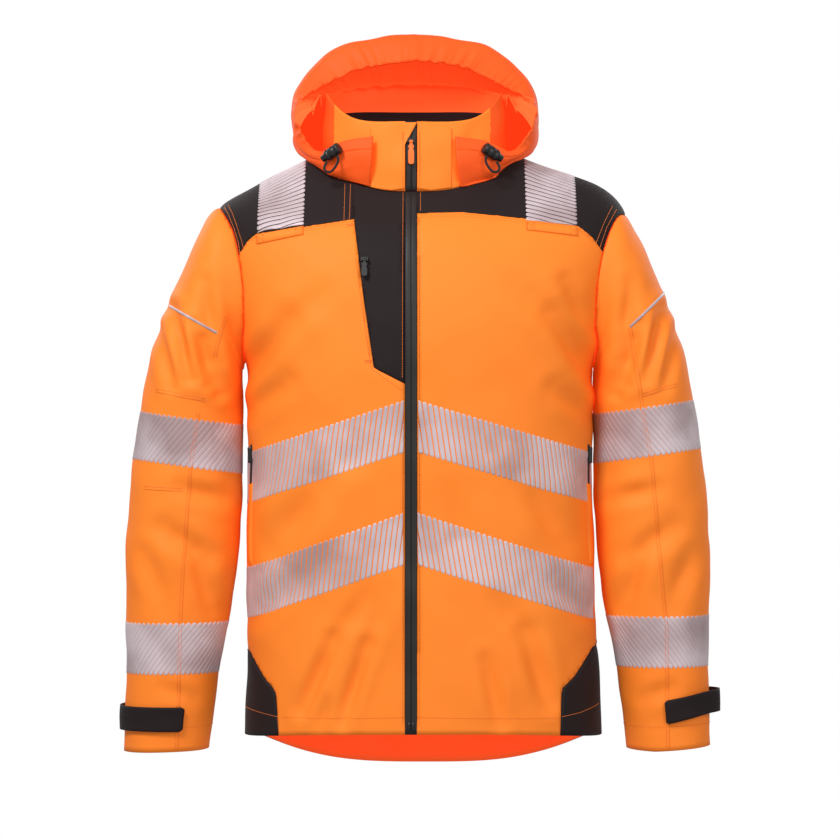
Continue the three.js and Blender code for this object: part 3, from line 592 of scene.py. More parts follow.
# %% Tape, plastic and cord materials
def plain_material(name, color, roughness, metallic=0.0, grain=0.1):
    """Moulded or coated stuff with a fine grain."""
    material = bpy.data.materials.new(name)
    material.use_nodes = True
    tree = material.node_tree
    shader = tree.nodes["Principled BSDF"]
    mottle = tree.nodes.new("ShaderNodeGroup")
    mottle.node_tree = MOTTLE
    mottle.inputs["Patch scale"].default_value = 60.0
    mottle.inputs["Grain scale"].default_value = 900.0
    darker = tuple(0.86 * channel for channel in color)
    join(tree, mixed(tree, "MIX", mottle.outputs["Patches"], darker, color), shader.inputs["Base Color"])
    bump = tree.nodes.new("ShaderNodeBump")
    bump.inputs["Strength"].default_value = grain
    bump.inputs["Distance"].default_value = 0.0003
    join(tree, mottle.outputs["Grain"], bump.inputs["Height"])
    join(tree, bump.outputs["Normal"], shader.inputs["Normal"])
    shader.inputs["Roughness"].default_value = roughness
    shader.inputs["Metallic"].default_value = metallic
    return material


def film_material():
    """Glass-bead film: pale, with dull mauve patches at random as painted reflection, for beads that lie at
    another angle.
    """
    material = plain_material("reflective_film", (0.68, 0.565, 0.60), 0.5, metallic=0.1, grain=0.15)
    tree = material.node_tree
    shader = tree.nodes["Principled BSDF"]
    pale = shader.inputs["Base Color"].links[0].from_socket
    mottle = tree.nodes.new("ShaderNodeGroup")
    mottle.node_tree = MOTTLE
    mottle.inputs["Patch scale"].default_value = 11.0
    # Painted reflection: mauve patches at random, and a little mauve everywhere, for film that sends back
    # less light.
    painted_reflection_patches = math_node(tree, "MULTIPLY", math_node(tree, "SUBTRACT", mottle.outputs["Patches"], 0.44), 4.0)
    amount = math_node(tree, "ADD", painted_reflection_patches, 0.12)
    amount.node.use_clamp = True
    join(tree, mixed(tree, "MIX", amount, pale, (0.40, 0.285, 0.295)), shader.inputs["Base Color"])
    return material


SILVER = film_material()
PLASTIC = plain_material("black_plastic", (0.012, 0.012, 0.013), 0.42, grain=0.08)
PULL_ORANGE = plain_material("orange_pull", (0.95, 0.19, 0.02), 0.5, grain=0.08)
CORD = plain_material("elastic_cord", (0.012, 0.011, 0.012), 0.8, grain=0.5)
ORANGE_THREAD = plain_material("orange_thread", (0.85, 0.20, 0.03), 0.7, grain=0.3)
SHELL_THREAD = plain_material("shell_thread", (0.90, 0.185, 0.015), 0.7, grain=0.3)
BLACK_THREAD = plain_material("black_thread", (0.018, 0.017, 0.018), 0.7, grain=0.3)
ZIP_TAPE = plain_material("zip_tape", (0.011, 0.0065, 0.007), 0.55, grain=0.2)
print("materials in all", len(bpy.data.materials))

# %% [markdown]
# ## Cutting the panels
# A maker cuts flat panels and sews them into the worn shape. Here the worn grids are cut along the
# seam lines, each panel keeps its own faces, the rims that meet another panel dip a little where the
# stitching pulls them in, and each panel is given the cloth's own thickness to its inside.

# %% Seam outlines in the front view, in millimetres
YOKE_EDGE_RIGHT = [[-260, -168], [-217, -125], [-200, -100], [-191, -93], [-132, -85], [-60, -74]]
YOKE_EDGE_LEFT = [[-8, -70], [51, -68], [93, -72], [122, -75], [188, -83], [205, -96], [223, -120],
                  [260, -168]]
YOKE_EDGE_BACK = [[-260, -122], [-200, -106], [0, -98], [200, -106], [260, -122]]
CHEST_EDGE = [[-79, 40], [-75, -76], [-69, -125], [-62, -179], [-51, -252], [-8, -274]]
GORE_RIGHT = [[-300, -577], [-206, -577], [-181, -615], [-167, -629], [-161, -700], [-161, -800]]
GORE_LEFT = [[300, -573], [213, -573], [184, -612], [168, -626], [165, -700], [165, -800]]
GORE_TOP = {-1: -586 * MM, 1: -580 * MM}
CHEST_BOTTOM = -274 * MM
SEAM_DIP = 0.9 * MM


def line_height(line, x):
    """The height of a seam line at x, in millimetres, level beyond its ends."""
    return np.interp(x, [p[0] for p in line], [p[1] for p in line])


def line_across(line, z):
    """The x of a falling seam line at height z, in millimetres."""
    return np.interp(-z, [-p[1] for p in line], [p[0] for p in line])


# %% Cutting a mesh where a field changes sign
def cut_by_field(bm, field):
    """Splits every face that the field's zero line crosses; field gives a number for a place."""
    value = {v: field(v.co) for v in bm.verts}
    new_points = []
    for edge in list(bm.edges):
        a, b = edge.verts
        low, high = value[a], value[b]
        if low * high >= 0 or min(abs(low), abs(high)) < 1e-7:
            continue
        _, vert = bmesh.utils.edge_split(edge, a, low / (low - high))
        value[vert] = 0.0
        new_points.append(vert)
    crossed = {f for v in new_points for f in v.link_faces}
    for face in crossed:
        on_line = [v for v in face.verts if value[v] == 0.0]
        if len(on_line) == 2:
            bmesh.utils.face_split(face, on_line[0], on_line[1])
    return value


def limited(field, keep):
    """The field where keep holds, and one sign elsewhere, so that nothing is cut there."""
    return lambda p: field(p) if keep(p) else 1.0


def outside_of(tree):
    """A number for a place: how far outside a closed grid it lies."""
    def field(p):
        spot, normal, _, gap = tree.find_nearest(p)
        return gap if (p - spot).dot(normal) > 0 else -gap
    return field


def piece_from(bm, faces, name):
    """A mesh object of some faces of a bmesh, with their cloth coordinates."""
    chosen = set(faces)
    copy = bm.copy()
    copy.faces.ensure_lookup_table()
    index = {f.index for f in chosen}
    bmesh.ops.delete(copy, geom=[f for f in copy.faces if f.index not in index], context="FACES")
    mesh = bpy.data.meshes.new(name)
    copy.to_mesh(mesh)
    copy.free()
    return put_in_scene(name, mesh)


def dip_rims(obj, free):
    """Pulls the rims of a panel in along its normals where they are sewn; free marks open edges."""
    depth = SEAM_DIP
    bm = bmesh.new()
    bm.from_mesh(obj.data)
    bm.normal_update()
    rims = {v for e in bm.edges if e.is_boundary for v in e.verts if not free(v.co)}
    beside = {e.other_vert(v) for v in rims for e in v.link_edges} - rims
    moved = [(v, v.normal.copy(), depth) for v in rims]
    moved += [(v, v.normal.copy(), 0.25 * depth) for v in beside]
    for v, normal, amount in moved:
        v.co -= normal * amount
    bm.to_mesh(obj.data)
    bm.free()


def area_of(obj):
    return sum(polygon.area for polygon in obj.data.polygons)


def thicken(obj, thickness=CLOTH):
    """Gives cloth its thickness to the inside, with smooth shading and its second finish inside: the
    lining's, or on orange cloth painted shade with a painted glow.
    """
    solid = obj.modifiers.new("cloth_thickness", "SOLIDIFY")
    solid.thickness = thickness
    solid.offset = -1.0
    solid.material_offset = 1
    for polygon in obj.data.polygons:
        polygon.use_smooth = True


PIECES = {}


def dress(obj, node, slot_name, material, body="jacket"):
    """Puts a piece in place of its CAD node, on its body, with its finish outside and inside."""
    obj.data.materials.clear()
    for finish in material if isinstance(material, tuple) else (material,):
        obj.data.materials.append(finish)
    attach(obj, body)
    nodes = node if isinstance(node, tuple) else (node,)
    if nodes[0]:
        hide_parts(*nodes)
    PIECES[obj.name] = obj
    return obj


CLOTHS = {}


def sew(node, obj, flat, held="draped"):
    """Keeps a cloth's flat size and its own area, with the trim that's sewn on it."""
    CLOTHS[node] = {"piece": obj, "flat": flat, "area": area_of(obj), "held": held, "trim": []}


def make_panel(bm, faces, node, slot_name, material, flat, free=lambda p: False):
    """A thick panel of cloth that stands for a CAD node."""
    obj = piece_from(bm, faces, f"{node}_cloth")
    dip_rims(obj, free)
    sew(node, obj, flat)
    thicken(obj)
    return dress(obj, node, slot_name, material)


# %% Panels of the body
body_cut = bmesh.new()
body_cut.from_mesh(torso_mesh)


def in_gore(p, line, side):
    """Positive inside a side gore, which lies beyond its edge line and below its top."""
    edge = float(line_across(line[1:], p.z / MM)) * MM
    return min(side * (p.x - edge), GORE_TOP[side] - p.z)


def in_chest(p):
    """Positive inside the black panel beside the zip."""
    edge = float(line_across(CHEST_EDGE, p.z / MM)) * MM
    return min(p.x - edge, ZIP_X - p.x, p.z - CHEST_BOTTOM)


def in_zip(p):
    return ZIP_HALF - abs(p.x - ZIP_X)


def above_yoke(p):
    """Positive above the yoke's seam, on the front and on the back."""
    if p.y > 0:
        return p.z - float(line_height(YOKE_EDGE_BACK, p.x / MM)) * MM
    line = YOKE_EDGE_RIGHT if p.x < ZIP_X else YOKE_EDGE_LEFT
    return p.z - float(line_height(line, p.x / MM)) * MM


def near_zip(p):
    return p.y < -0.05 and abs(p.x - ZIP_X) < 0.03


BESIDE_ARM = 0.15
ARMHOLE_BOTTOM = -0.30
OUTSIDE_SLEEVE = {name: outside_of(tree) for name, tree in sleeve_trees.items()}
CUTS = [
    (OUTSIDE_SLEEVE["right"], lambda p: p.x < -BESIDE_ARM and p.z > ARMHOLE_BOTTOM),
    (OUTSIDE_SLEEVE["left"], lambda p: p.x > BESIDE_ARM and p.z > ARMHOLE_BOTTOM),
    (lambda p: p.y, lambda p: abs(p.y) < 0.03),
    (lambda p: in_gore(p, GORE_RIGHT, -1), lambda p: p.x < -0.1 and p.z < -0.55),
    (lambda p: in_gore(p, GORE_LEFT, 1), lambda p: p.x > 0.1 and p.z < -0.55),
    (in_zip, near_zip),
    (in_chest, lambda p: p.y < 0 and p.x < ZIP_X and p.z > -0.3),
    (above_yoke, lambda p: p.z > -0.17 and (p.y > 0 or abs(p.x - ZIP_X) > ZIP_HALF)),
]
for field, keep in CUTS:
    cut_by_field(body_cut, limited(field, keep))
body_cut.faces.ensure_lookup_table()


def panel_of(p):
    """The CAD node whose panel a place of the body lies in, or None inside a sleeve."""
    for name, side in SIDES.items():
        if side * p.x > BESIDE_ARM and p.z > ARMHOLE_BOTTOM and OUTSIDE_SLEEVE[name](p) < 0:
            return None
    if in_gore(p, GORE_RIGHT, -1) > 0:
        return "side_gore_right"
    if in_gore(p, GORE_LEFT, 1) > 0:
        return "side_gore_left"
    if p.y > 0:
        return "yoke_back" if above_yoke(p) > 0 else "back"
    if in_zip(p) > 0:
        return "main_zip"
    if in_chest(p) > 0:
        return "chest_panel"
    side_name = "right" if p.x < ZIP_X else "left"
    return f"yoke_front_{side_name}" if above_yoke(p) > 0 else f"front_{side_name}"


panel_faces = {}
body_cut.faces.index_update()
for face in body_cut.faces:
    panel_faces.setdefault(panel_of(face.calc_center_median()), []).append(face)
print({name: len(faces) for name, faces in panel_faces.items()})


def hem_or_neck(p):
    """Open edges of the body, which no other panel meets."""
    return p.z < -0.66 or p.z > -0.06


# %% Orange panels, yokes, gores and the black chest panel
# The orange panels and the side gores have painted shade with a painted glow on their insides.
BODY_PANELS = {
    "back": ("orange_cloth", (ORANGE, ORANGE_PAINTED_SHADE_GLOW), (0.66, 0.72)),
    "front_right": ("orange_cloth", (ORANGE, ORANGE_PAINTED_SHADE_GLOW), (0.34, 0.64)),
    "front_left": ("orange_cloth", (ORANGE, ORANGE_PAINTED_SHADE_GLOW), (0.34, 0.68)),
    "yoke_back": ("black_cloth", (BLACK, BLACK_LINING), (0.56, 0.20)),
    "yoke_front_right": ("black_cloth", (BLACK, BLACK_LINING), (0.24, 0.20)),
    "yoke_front_left": ("black_cloth", (BLACK, BLACK_LINING), (0.28, 0.20)),
    "side_gore_right": ("black_cloth", (BLACK, ORANGE_PAINTED_SHADE_GLOW), (0.24, 0.16)),
    "side_gore_left": ("black_cloth", (BLACK, ORANGE_PAINTED_SHADE_GLOW), (0.24, 0.16)),
    "chest_panel": ("black_cloth", (BLACK, BLACK_LINING), (0.09, 0.26)),
    "main_zip": ("zip_tape", (ZIP_TAPE, ZIP_TAPE), (0.02, 0.64)),
}
for node, (slot_name, material, flat) in BODY_PANELS.items():
    make_panel(body_cut, panel_faces[node], node, slot_name, material, flat, hem_or_neck)
body_cut.free()
print(len(PIECES), "panels of the body")

# %% [markdown]
# ## Sleeves
# Each sleeve is a tube of two pieces of cloth sewn along its length. It's cut where it meets the body,
# so the armhole's seam follows the two worn shapes. The cuff's hem is left open.

# %% Sleeves
BELOW_ARMHOLE = -0.36
outside = outside_of(torso_tree)
for name in SIDES:
    sleeve_cut = bmesh.new()
    sleeve_cut.from_mesh(sleeve_meshes[name])
    cut_by_field(sleeve_cut, limited(outside, lambda p: p.z > BELOW_ARMHOLE))
    sleeve_cut.faces.index_update()
    shown = []
    for face in sleeve_cut.faces:
        middle = face.calc_center_median()
        if outside(middle) > 0 or middle.z < BELOW_ARMHOLE:
            shown.append(face)
    # The sleeve's inside has painted shade with a painted glow.
    make_panel(sleeve_cut, shown, f"sleeve_{name}", "orange_cloth", (ORANGE, ORANGE_PAINTED_SHADE_GLOW),
               (0.50, 0.64), lambda p: p.z < -0.6)
    sleeve_cut.free()
    print("sleeve", name, len(shown), "faces")


# %% [markdown]
# ## Tape, ribbons and stitches
# The reflective tape is film in slanting segments with rounded ends and cloth between them. Each
# segment is a real raised strip that follows the worn cloth, so light runs along it as on the tape in
# the photograph. Ribbons and stitches lie on the cloth too: a ray from the front, back or top finds it.

# %% Places along a band on a skin
def solve_rise(points, turn, target, upward):
    """The rise at each turn where a surface meets a slanting line of the front view."""
    low, high = np.zeros_like(turn), np.ones_like(turn)
    for _ in range(22):
        middle = (low + high) / 2
        place = points(turn, middle)
        above = (place[..., 2] - target(place[..., 0])) * upward > 0
        high = np.where(above, middle, high)
        low = np.where(above, low, middle)
    return (low + high) / 2


def band_mapper(points, skin, upward, turns, line):
    """A function from millimetres along and up a band to places and normals on the skin."""
    fine = np.linspace(turns[0], turns[1], 400)
    rise = solve_rise(points, fine, line, upward)
    middle = points(fine, rise)
    run = np.concatenate([[0.0], np.cumsum(np.linalg.norm(np.diff(middle, axis=0), axis=1))])

    def place_at(along_band, up):
        turn = np.interp(along_band * MM, run, fine)
        return skin(turn, solve_rise(points, turn, lambda x: line(x) + up * MM, upward))

    return place_at, run[-1] / MM


def add_mesh(name, vertices, faces):
    """A new object of a mesh, from its corners and faces."""
    mesh = bpy.data.meshes.new(name)
    mesh.from_pydata(vertices, [], faces)
    return put_in_scene(name, mesh)


def strips_mesh(name, place):
    """One mesh of many strips; place has a row for each strip, station, place across and axis."""
    count, stations, across = place.shape[:3]
    spans = (np.arange(count), np.arange(stations - 1), np.arange(across - 1))
    k, j, i = np.meshgrid(*spans, indexing="ij")
    first = ((k * stations + j) * across + i).ravel()
    faces = np.stack([first, first + 1, first + across + 1, first + across], axis=1)
    obj = add_mesh(name, place.reshape(-1, 3).tolist(), faces.tolist())
    bm = bmesh.new()
    bm.from_mesh(obj.data)
    bmesh.ops.dissolve_degenerate(bm, dist=1e-6, edges=bm.edges)
    bmesh.ops.recalc_face_normals(bm, faces=bm.faces)
    bm.to_mesh(obj.data)
    bm.free()
    for polygon in obj.data.polygons:
        polygon.use_smooth = True
    return obj


SEGMENT_WIDTH = 5.5
SEGMENT_PITCH = 6.75
FILM_HEIGHT = 0.5 * MM


def segment_grid(half_length):
    """Places of one segment along its own length and across it, and their heights over the cloth."""
    radius = SEGMENT_WIDTH / 2
    ends = np.array([0.05, 0.35, 0.95, radius])
    inner = np.linspace(-half_length + radius, half_length - radius, 9)[1:-1]
    lengths = np.concatenate([-half_length + ends, inner, (half_length - ends)[::-1]])
    from_end = np.minimum(half_length - np.abs(lengths), radius)
    half_widths = np.sqrt(radius**2 - (radius - from_end) ** 2)
    across = np.array([-1.0, -0.94, -0.72, 0.72, 0.94, 1.0])
    level = np.array([-0.5, 0.7, 1.0, 1.0, 0.7, -0.5])
    rise_share = np.clip(from_end / 0.9, 0.0, 1.0) * 1.5 - 0.5
    heights = np.minimum(level[None, :], rise_share[:, None]) * FILM_HEIGHT
    return lengths, half_widths[:, None] * across[None, :], heights


def tape_segments(name, place_at, start, end, height, lean, ring=False):
    """Slanting film from start to end along a band, in millimetres, cut straight unless it's a ring."""
    cosine, sine = math.cos(math.radians(lean)), math.sin(math.radians(lean))
    lengths, sideways, heights = segment_grid(height / 2 / cosine)
    past = 0.0 if ring else height / 2 * math.tan(math.radians(abs(lean)))
    reach = end - start + 2 * past
    count = int(round(reach / SEGMENT_PITCH))
    centres = start - past + (np.arange(count) + 0.5) * reach / count
    up = (lengths * cosine)[:, None] - sideways * sine
    along_band = (lengths * sine)[:, None] + sideways * cosine
    along_band = centres[:, None, None] + along_band[None]
    up = np.broadcast_to(up[None], along_band.shape)
    along_band = np.mod(along_band, end) if ring else np.clip(along_band, start, end)
    place, normal = place_at(along_band, up)
    return strips_mesh(name, place + normal * heights[None, :, :, None])


def trim(obj, node, cloth, slot_name, material):
    """Dresses a piece of trim and keeps it with the cloth that it's sewn on."""
    dress(obj, node, slot_name, material)
    CLOTHS[cloth]["trim"].append(obj)
    return obj


# %% Tape round the body
TAPE_HEIGHT = 61.0
FRONT_TAPES = {"upper": (-289, -350), "lower": (-419, -486)}
BACK_TAPES = {"upper": -350, "lower": -486}
BODY_LEAN = 9.0


def turn_at(points, x, z, low, high):
    """The turn on the front where a surface has this x, in metres, at about height z."""
    for _ in range(26):
        middle = (low + high) / 2
        turn = np.array([middle])
        rise = solve_rise(points, turn, lambda px: z + 0 * px, 1)
        if points(turn, rise)[0, 0] < x:
            low = middle
        else:
            high = middle
    return (low + high) / 2


for level, (zip_top, side_top) in FRONT_TAPES.items():
    for name, side in SIDES.items():
        inner = ZIP_X + side * (ZIP_HALF + 1.5 * MM)
        outer = (-201 if side < 0 else 205) * MM
        slope = (side_top - zip_top) * MM / (outer - inner)
        line = lambda x, inner=inner, slope=slope: (zip_top - TAPE_HEIGHT / 2) * MM + slope * (x - inner)
        middle_z = float(line((inner + outer) / 2))
        near = turn_at(torso_points, inner, middle_z, 0.5, 1.0)
        far = turn_at(torso_points, side * 0.2045 if side < 0 else 0.206, middle_z, 0.5, 1.0)
        turns = (far, near) if side < 0 else (near, far)
        place_at, length = band_mapper(torso_points, torso_skin, 1, turns, line)
        tape = tape_segments(f"tape_front_{level}_{name}_film", place_at, 0.0, length, TAPE_HEIGHT,
                             -side * BODY_LEAN)
        trim(tape, f"tape_front_{level}_{name}", f"front_{name}", "reflective_tape", SILVER)
for level, top in BACK_TAPES.items():
    line = lambda x, top=top: (top - TAPE_HEIGHT / 2) * MM + 0 * x
    place_at, length = band_mapper(torso_points, torso_skin, 1, (0.003, 0.497), line)
    tape = tape_segments(f"tape_back_{level}_film", place_at, 0.0, length, TAPE_HEIGHT, BODY_LEAN)
    trim(tape, f"tape_back_{level}", "back", "reflective_tape", SILVER)
    print(f"back tape {level}: {length:.0f} mm round")


# %% Tape round the sleeves
def front_line(x0, z0, x1, z1):
    """A straight line of the front view in millimetres, as heights in metres at x in metres."""
    return lambda x: (z0 + (x / MM - x0) * (z1 - z0) / (x1 - x0)) * MM


SLEEVE_TAPES = {
    # for each tape, the line of its middle and its height
    "right": {"upper": (front_line(-400, -321, -190, -350), 58.0),
              "lower": (front_line(-400, -583.5, -190, -580.5), 61.0)},
    "left": {"upper": (front_line(190, -337.5, 400, -307.5), 59.0),
             "lower": (front_line(190, -574.5, 400, -573.5), 61.0)},
}
SLEEVE_LEAN = 36.0
for name in SIDES:
    for level, (line, height) in SLEEVE_TAPES[name].items():
        place_at, length = band_mapper(SLEEVE_FORM[name], SLEEVE_SKIN[name], -1, (0.0, 1.0), line)
        tape = tape_segments(f"tape_sleeve_{level}_{name}_film", place_at, 0.0, length, height,
                             -SLEEVE_LEAN, ring=True)
        trim(tape, f"tape_sleeve_{level}_{name}", f"sleeve_{name}", "reflective_tape", SILVER)
        print(f"sleeve tape {level} {name}: {length:.0f} mm round")


# %% Paths that lie on the cloth
VIEWS = {
    "front": (lambda a, b: Vector((a, -0.6, b)), Vector((0, 1, 0))),
    "back": (lambda a, b: Vector((a, 0.6, b)), Vector((0, -1, 0))),
    "top": (lambda a, b: Vector((a, b, 0.5)), Vector((0, 0, -1))),
    "right": (lambda a, b: Vector((-0.6, a, b)), Vector((1, 0, 0))),
    "left": (lambda a, b: Vector((0.6, a, b)), Vector((-1, 0, 0))),
}


def cast(tree, view, a, b):
    """Where a ray of a view meets a grid, and the grid's normal there; a and b are in metres."""
    start, direction = VIEWS[view]
    spot, normal, _, _ = tree.ray_cast(start(a, b), direction)
    return spot, normal


def path_on(tree, path, view, step=3.0):
    """Places and normals at even steps along a path, given in millimetres in a view, on a grid."""
    path = np.array(path, dtype=float)
    run = np.concatenate([[0.0], np.cumsum(np.linalg.norm(np.diff(path, axis=0), axis=1))])
    fine = np.linspace(0, run[-1], max(int(run[-1]), 2) + 1)
    direction = VIEWS[view][1]
    places, normals = [], []
    for a, b in zip(np.interp(fine, run, path[:, 0]), np.interp(fine, run, path[:, 1])):
        spot, normal = cast(tree, view, a * MM, b * MM)
        if spot is not None:
            places.append(spot)
            normals.append(normal if normal.dot(direction) < 0 else -normal)
    places, normals = np.array(places), np.array(normals)
    run = np.concatenate([[0.0], np.cumsum(np.linalg.norm(np.diff(places, axis=0), axis=1))])
    even = np.linspace(0, run[-1], max(int(round(run[-1] / (step * MM))), 1) + 1)
    pick = lambda columns: np.stack([np.interp(even, run, columns[:, k]) for k in range(3)], axis=-1)
    normal = pick(normals)
    return pick(places), normal / np.linalg.norm(normal, axis=1, keepdims=True)


def frames_along(places, normals):
    """The direction along a path and the direction across it, at each of its places."""
    tangent = np.gradient(places, axis=0)
    tangent /= np.maximum(np.linalg.norm(tangent, axis=1, keepdims=True), 1e-12)
    side = np.cross(normals, tangent)
    return tangent, side / np.maximum(np.linalg.norm(side, axis=1, keepdims=True), 1e-12)


def ribbon(name, places, normals, profile):
    """A strip along a path; profile is pairs of sideways place and height over the cloth, in mm."""
    profile = np.array(profile, dtype=float) * MM
    _, side = frames_along(places, normals)
    place = places[:, None, :] + side[:, None, :] * profile[None, :, 0, None]
    heights = np.repeat(profile[None, :, 1], len(places), axis=0)
    for row in (0, -1):
        heights[row] = np.minimum(heights[row], -0.3 * MM)
    place = place + normals[:, None, :] * heights[..., None]
    return strips_mesh(name, place[None])


def flat_profile(width, height):
    """A flat strip with softly rounded sides."""
    half, low = width / 2, 0.6 * height
    left = [(-half, -0.4), (-half, low), (-half + 0.5, height)]
    return left + [(-x, z) for x, z in reversed(left)]


def stitch_grid(places, normals, length=2.3, width=0.75, height=0.45):
    """Places of thread pieces, one at each place of a path."""
    tangent, side = frames_along(places, normals)
    lengths = np.array([-0.5, -0.32, 0.32, 0.5]) * length * MM
    across = np.array([-0.5, -0.25, 0.25, 0.5]) * width * MM
    end, crest = [-0.3, -0.3, -0.3, -0.3], [-0.3, 1, 1, -0.3]
    rise = np.array([end, crest, crest, end]) * height * MM
    place = places[:, None, None] + tangent[:, None, None] * lengths[None, :, None, None]
    place = place + side[:, None, None] * across[None, None, :, None]
    return place + normals[:, None, None] * rise[None, :, :, None]


def sew_lines(name, lines, material, slot_name, cloth, pitch=3.2, lift=0.0, **size):
    """Thread along several (tree, path, view) lines, as one piece sewn to a cloth."""
    grids = []
    for tree, path, view in lines:
        places, normals = path_on(tree, path, view, pitch)
        if len(places) > 2:
            grids.append(stitch_grid(places + normals * lift * MM, normals, **size))
    thread = strips_mesh(name, np.concatenate(grids))
    return trim(thread, None, cloth, slot_name, material)


# %% Tape and loop tabs over the shoulders
SHOULDER_TAPES = {"right": (-190, -133, -94, -84), "left": (126, 188, -79, -85)}
SHOULDER_LEAN = -12.0
LOOP_TAB_DROP = 6.3
LOOP_TAB_HEIGHT = 11.6
LOOP_TAB_THICK = 2.2
for name, (x0, x1, z0, z1) in SHOULDER_TAPES.items():
    middle_x = (x0 + x1) / 2
    outer_x = max(x0, x1, key=abs)
    edge = lambda x: z0 + (x - x0) * (z1 - z0) / (x1 - x0)
    front_at = {}
    for x in (x0, middle_x, x1):
        front_at[x] = cast(torso_tree, "front", x * MM, edge(x) * MM)[0].y / MM
    back_end = cast(torso_tree, "back", outer_x * MM, edge(x0) * MM)[0].y / MM
    rows = np.linspace(front_at[middle_x], back_end - 2.0, 260)
    spots = [cast(torso_tree, "top", middle_x * MM, y * MM)[0] for y in rows]
    gaps = [(b - a).length for a, b in zip(spots, spots[1:])]
    run = np.concatenate([[0.0], np.cumsum(gaps)]) / MM

    def place_at(along_band, up):
        """Places over the shoulder; the front end keeps to the yoke's seam and that fades out."""
        y = np.interp(along_band, run, rows)
        fade = np.clip(1 - along_band / 90, 0, 1)
        lean_in = np.interp(middle_x + up, list(front_at), list(front_at.values()))
        y = y + (lean_in - front_at[middle_x]) * fade
        x = np.broadcast_to(middle_x + up, y.shape)
        place, normal = np.zeros((*y.shape, 3)), np.zeros((*y.shape, 3))
        for index in np.ndindex(y.shape):
            place[index], normal[index] = cast(torso_tree, "top", x[index] * MM, y[index] * MM)
        return place, normal

    tape = tape_segments(f"tape_shoulder_{name}_film", place_at, 1.0, run[-1] - 1.0, x1 - x0 - 1.0,
                         SIDES[name] * SHOULDER_LEAN)
    trim(tape, f"tape_shoulder_{name}", f"yoke_front_{name}", "reflective_tape", SILVER)
    print(f"shoulder tape {name}: {run[-1]:.0f} mm over the shoulder")
    path = [(x0, z0 - LOOP_TAB_DROP), (x1, z1 - LOOP_TAB_DROP)]
    places, normals = path_on(torso_tree, path, "front")
    tab = ribbon(f"loop_tab_{name}_cloth", places, normals, flat_profile(LOOP_TAB_HEIGHT, LOOP_TAB_THICK))
    trim(tab, f"loop_tab_{name}", f"front_{name}", "orange_cloth", ORANGE)

# %% [markdown]
# ## Hood, collar and neck lining
# The hood is down and folded back. Its brim is a channel with elastic in it, so the inner edge is
# gathered into small puckers that die out over the band. Behind that edge a second fold of the same
# cloth lies above the collar, in a redder orange with a strong glow: painted shade and a painted glow.
# The hood's outside and the collar's sides take a deeper orange as painted shade. The stand collar is
# one tube of cloth, redder inside as painted shade with a painted glow, with two strips beside the zip
# and a dark lining round the back of the neck.

# %% Gathers
def gather(run, spacing, shift):
    """Uneven puckers along an elastic edge, from -1 to 1; run and spacing in millimetres."""
    phase = 2 * np.pi * run / spacing
    wander = 2.1 * np.sin(phase / 4.7 + shift) + 1.3 * np.sin(phase / 2.9 + 2 * shift)
    strength = 0.65 + 0.35 * np.sin(phase / 6.3 + 3 * shift)
    return strength * np.sin(phase + wander)


HOOD_EDGE = 560.0
# turn, rise, width as a share of the turn, depth in millimetres
HOOD_FOLDS = [
    (0.13, 0.42, 0.10, 5.0),
    (0.87, 0.46, 0.11, 5.0),
    (0.24, 0.55, 0.07, 4.0),
    (0.78, 0.58, 0.07, 4.0),
    (0.36, 0.62, 0.05, 3.0),
    (0.66, 0.60, 0.06, 3.0),
]
# how far along the hood to look, and the weight of what is there
CROWN_SHARES = ((-0.16, 0.16), (-0.08, 0.22), (0.0, 0.24), (0.08, 0.22), (0.16, 0.16))
LOBE_DROP = 5.0 * MM
SLACK_OUT = 7.0 * MM
SLACK_DROP = 12.0 * MM


def hood_form(turn, rise):
    """The hood's form with its crown rounded, as stiff cloth bends in a curve and not in a crease."""
    soft = sum(weight * hood_points(turn, np.clip(rise + step, 0, 1)) for step, weight in CROWN_SHARES)
    bend = np.exp(-(((rise - 0.73) / 0.15) ** 2))[..., None]
    return hood_points(turn, rise) * (1 - bend) + soft * bend


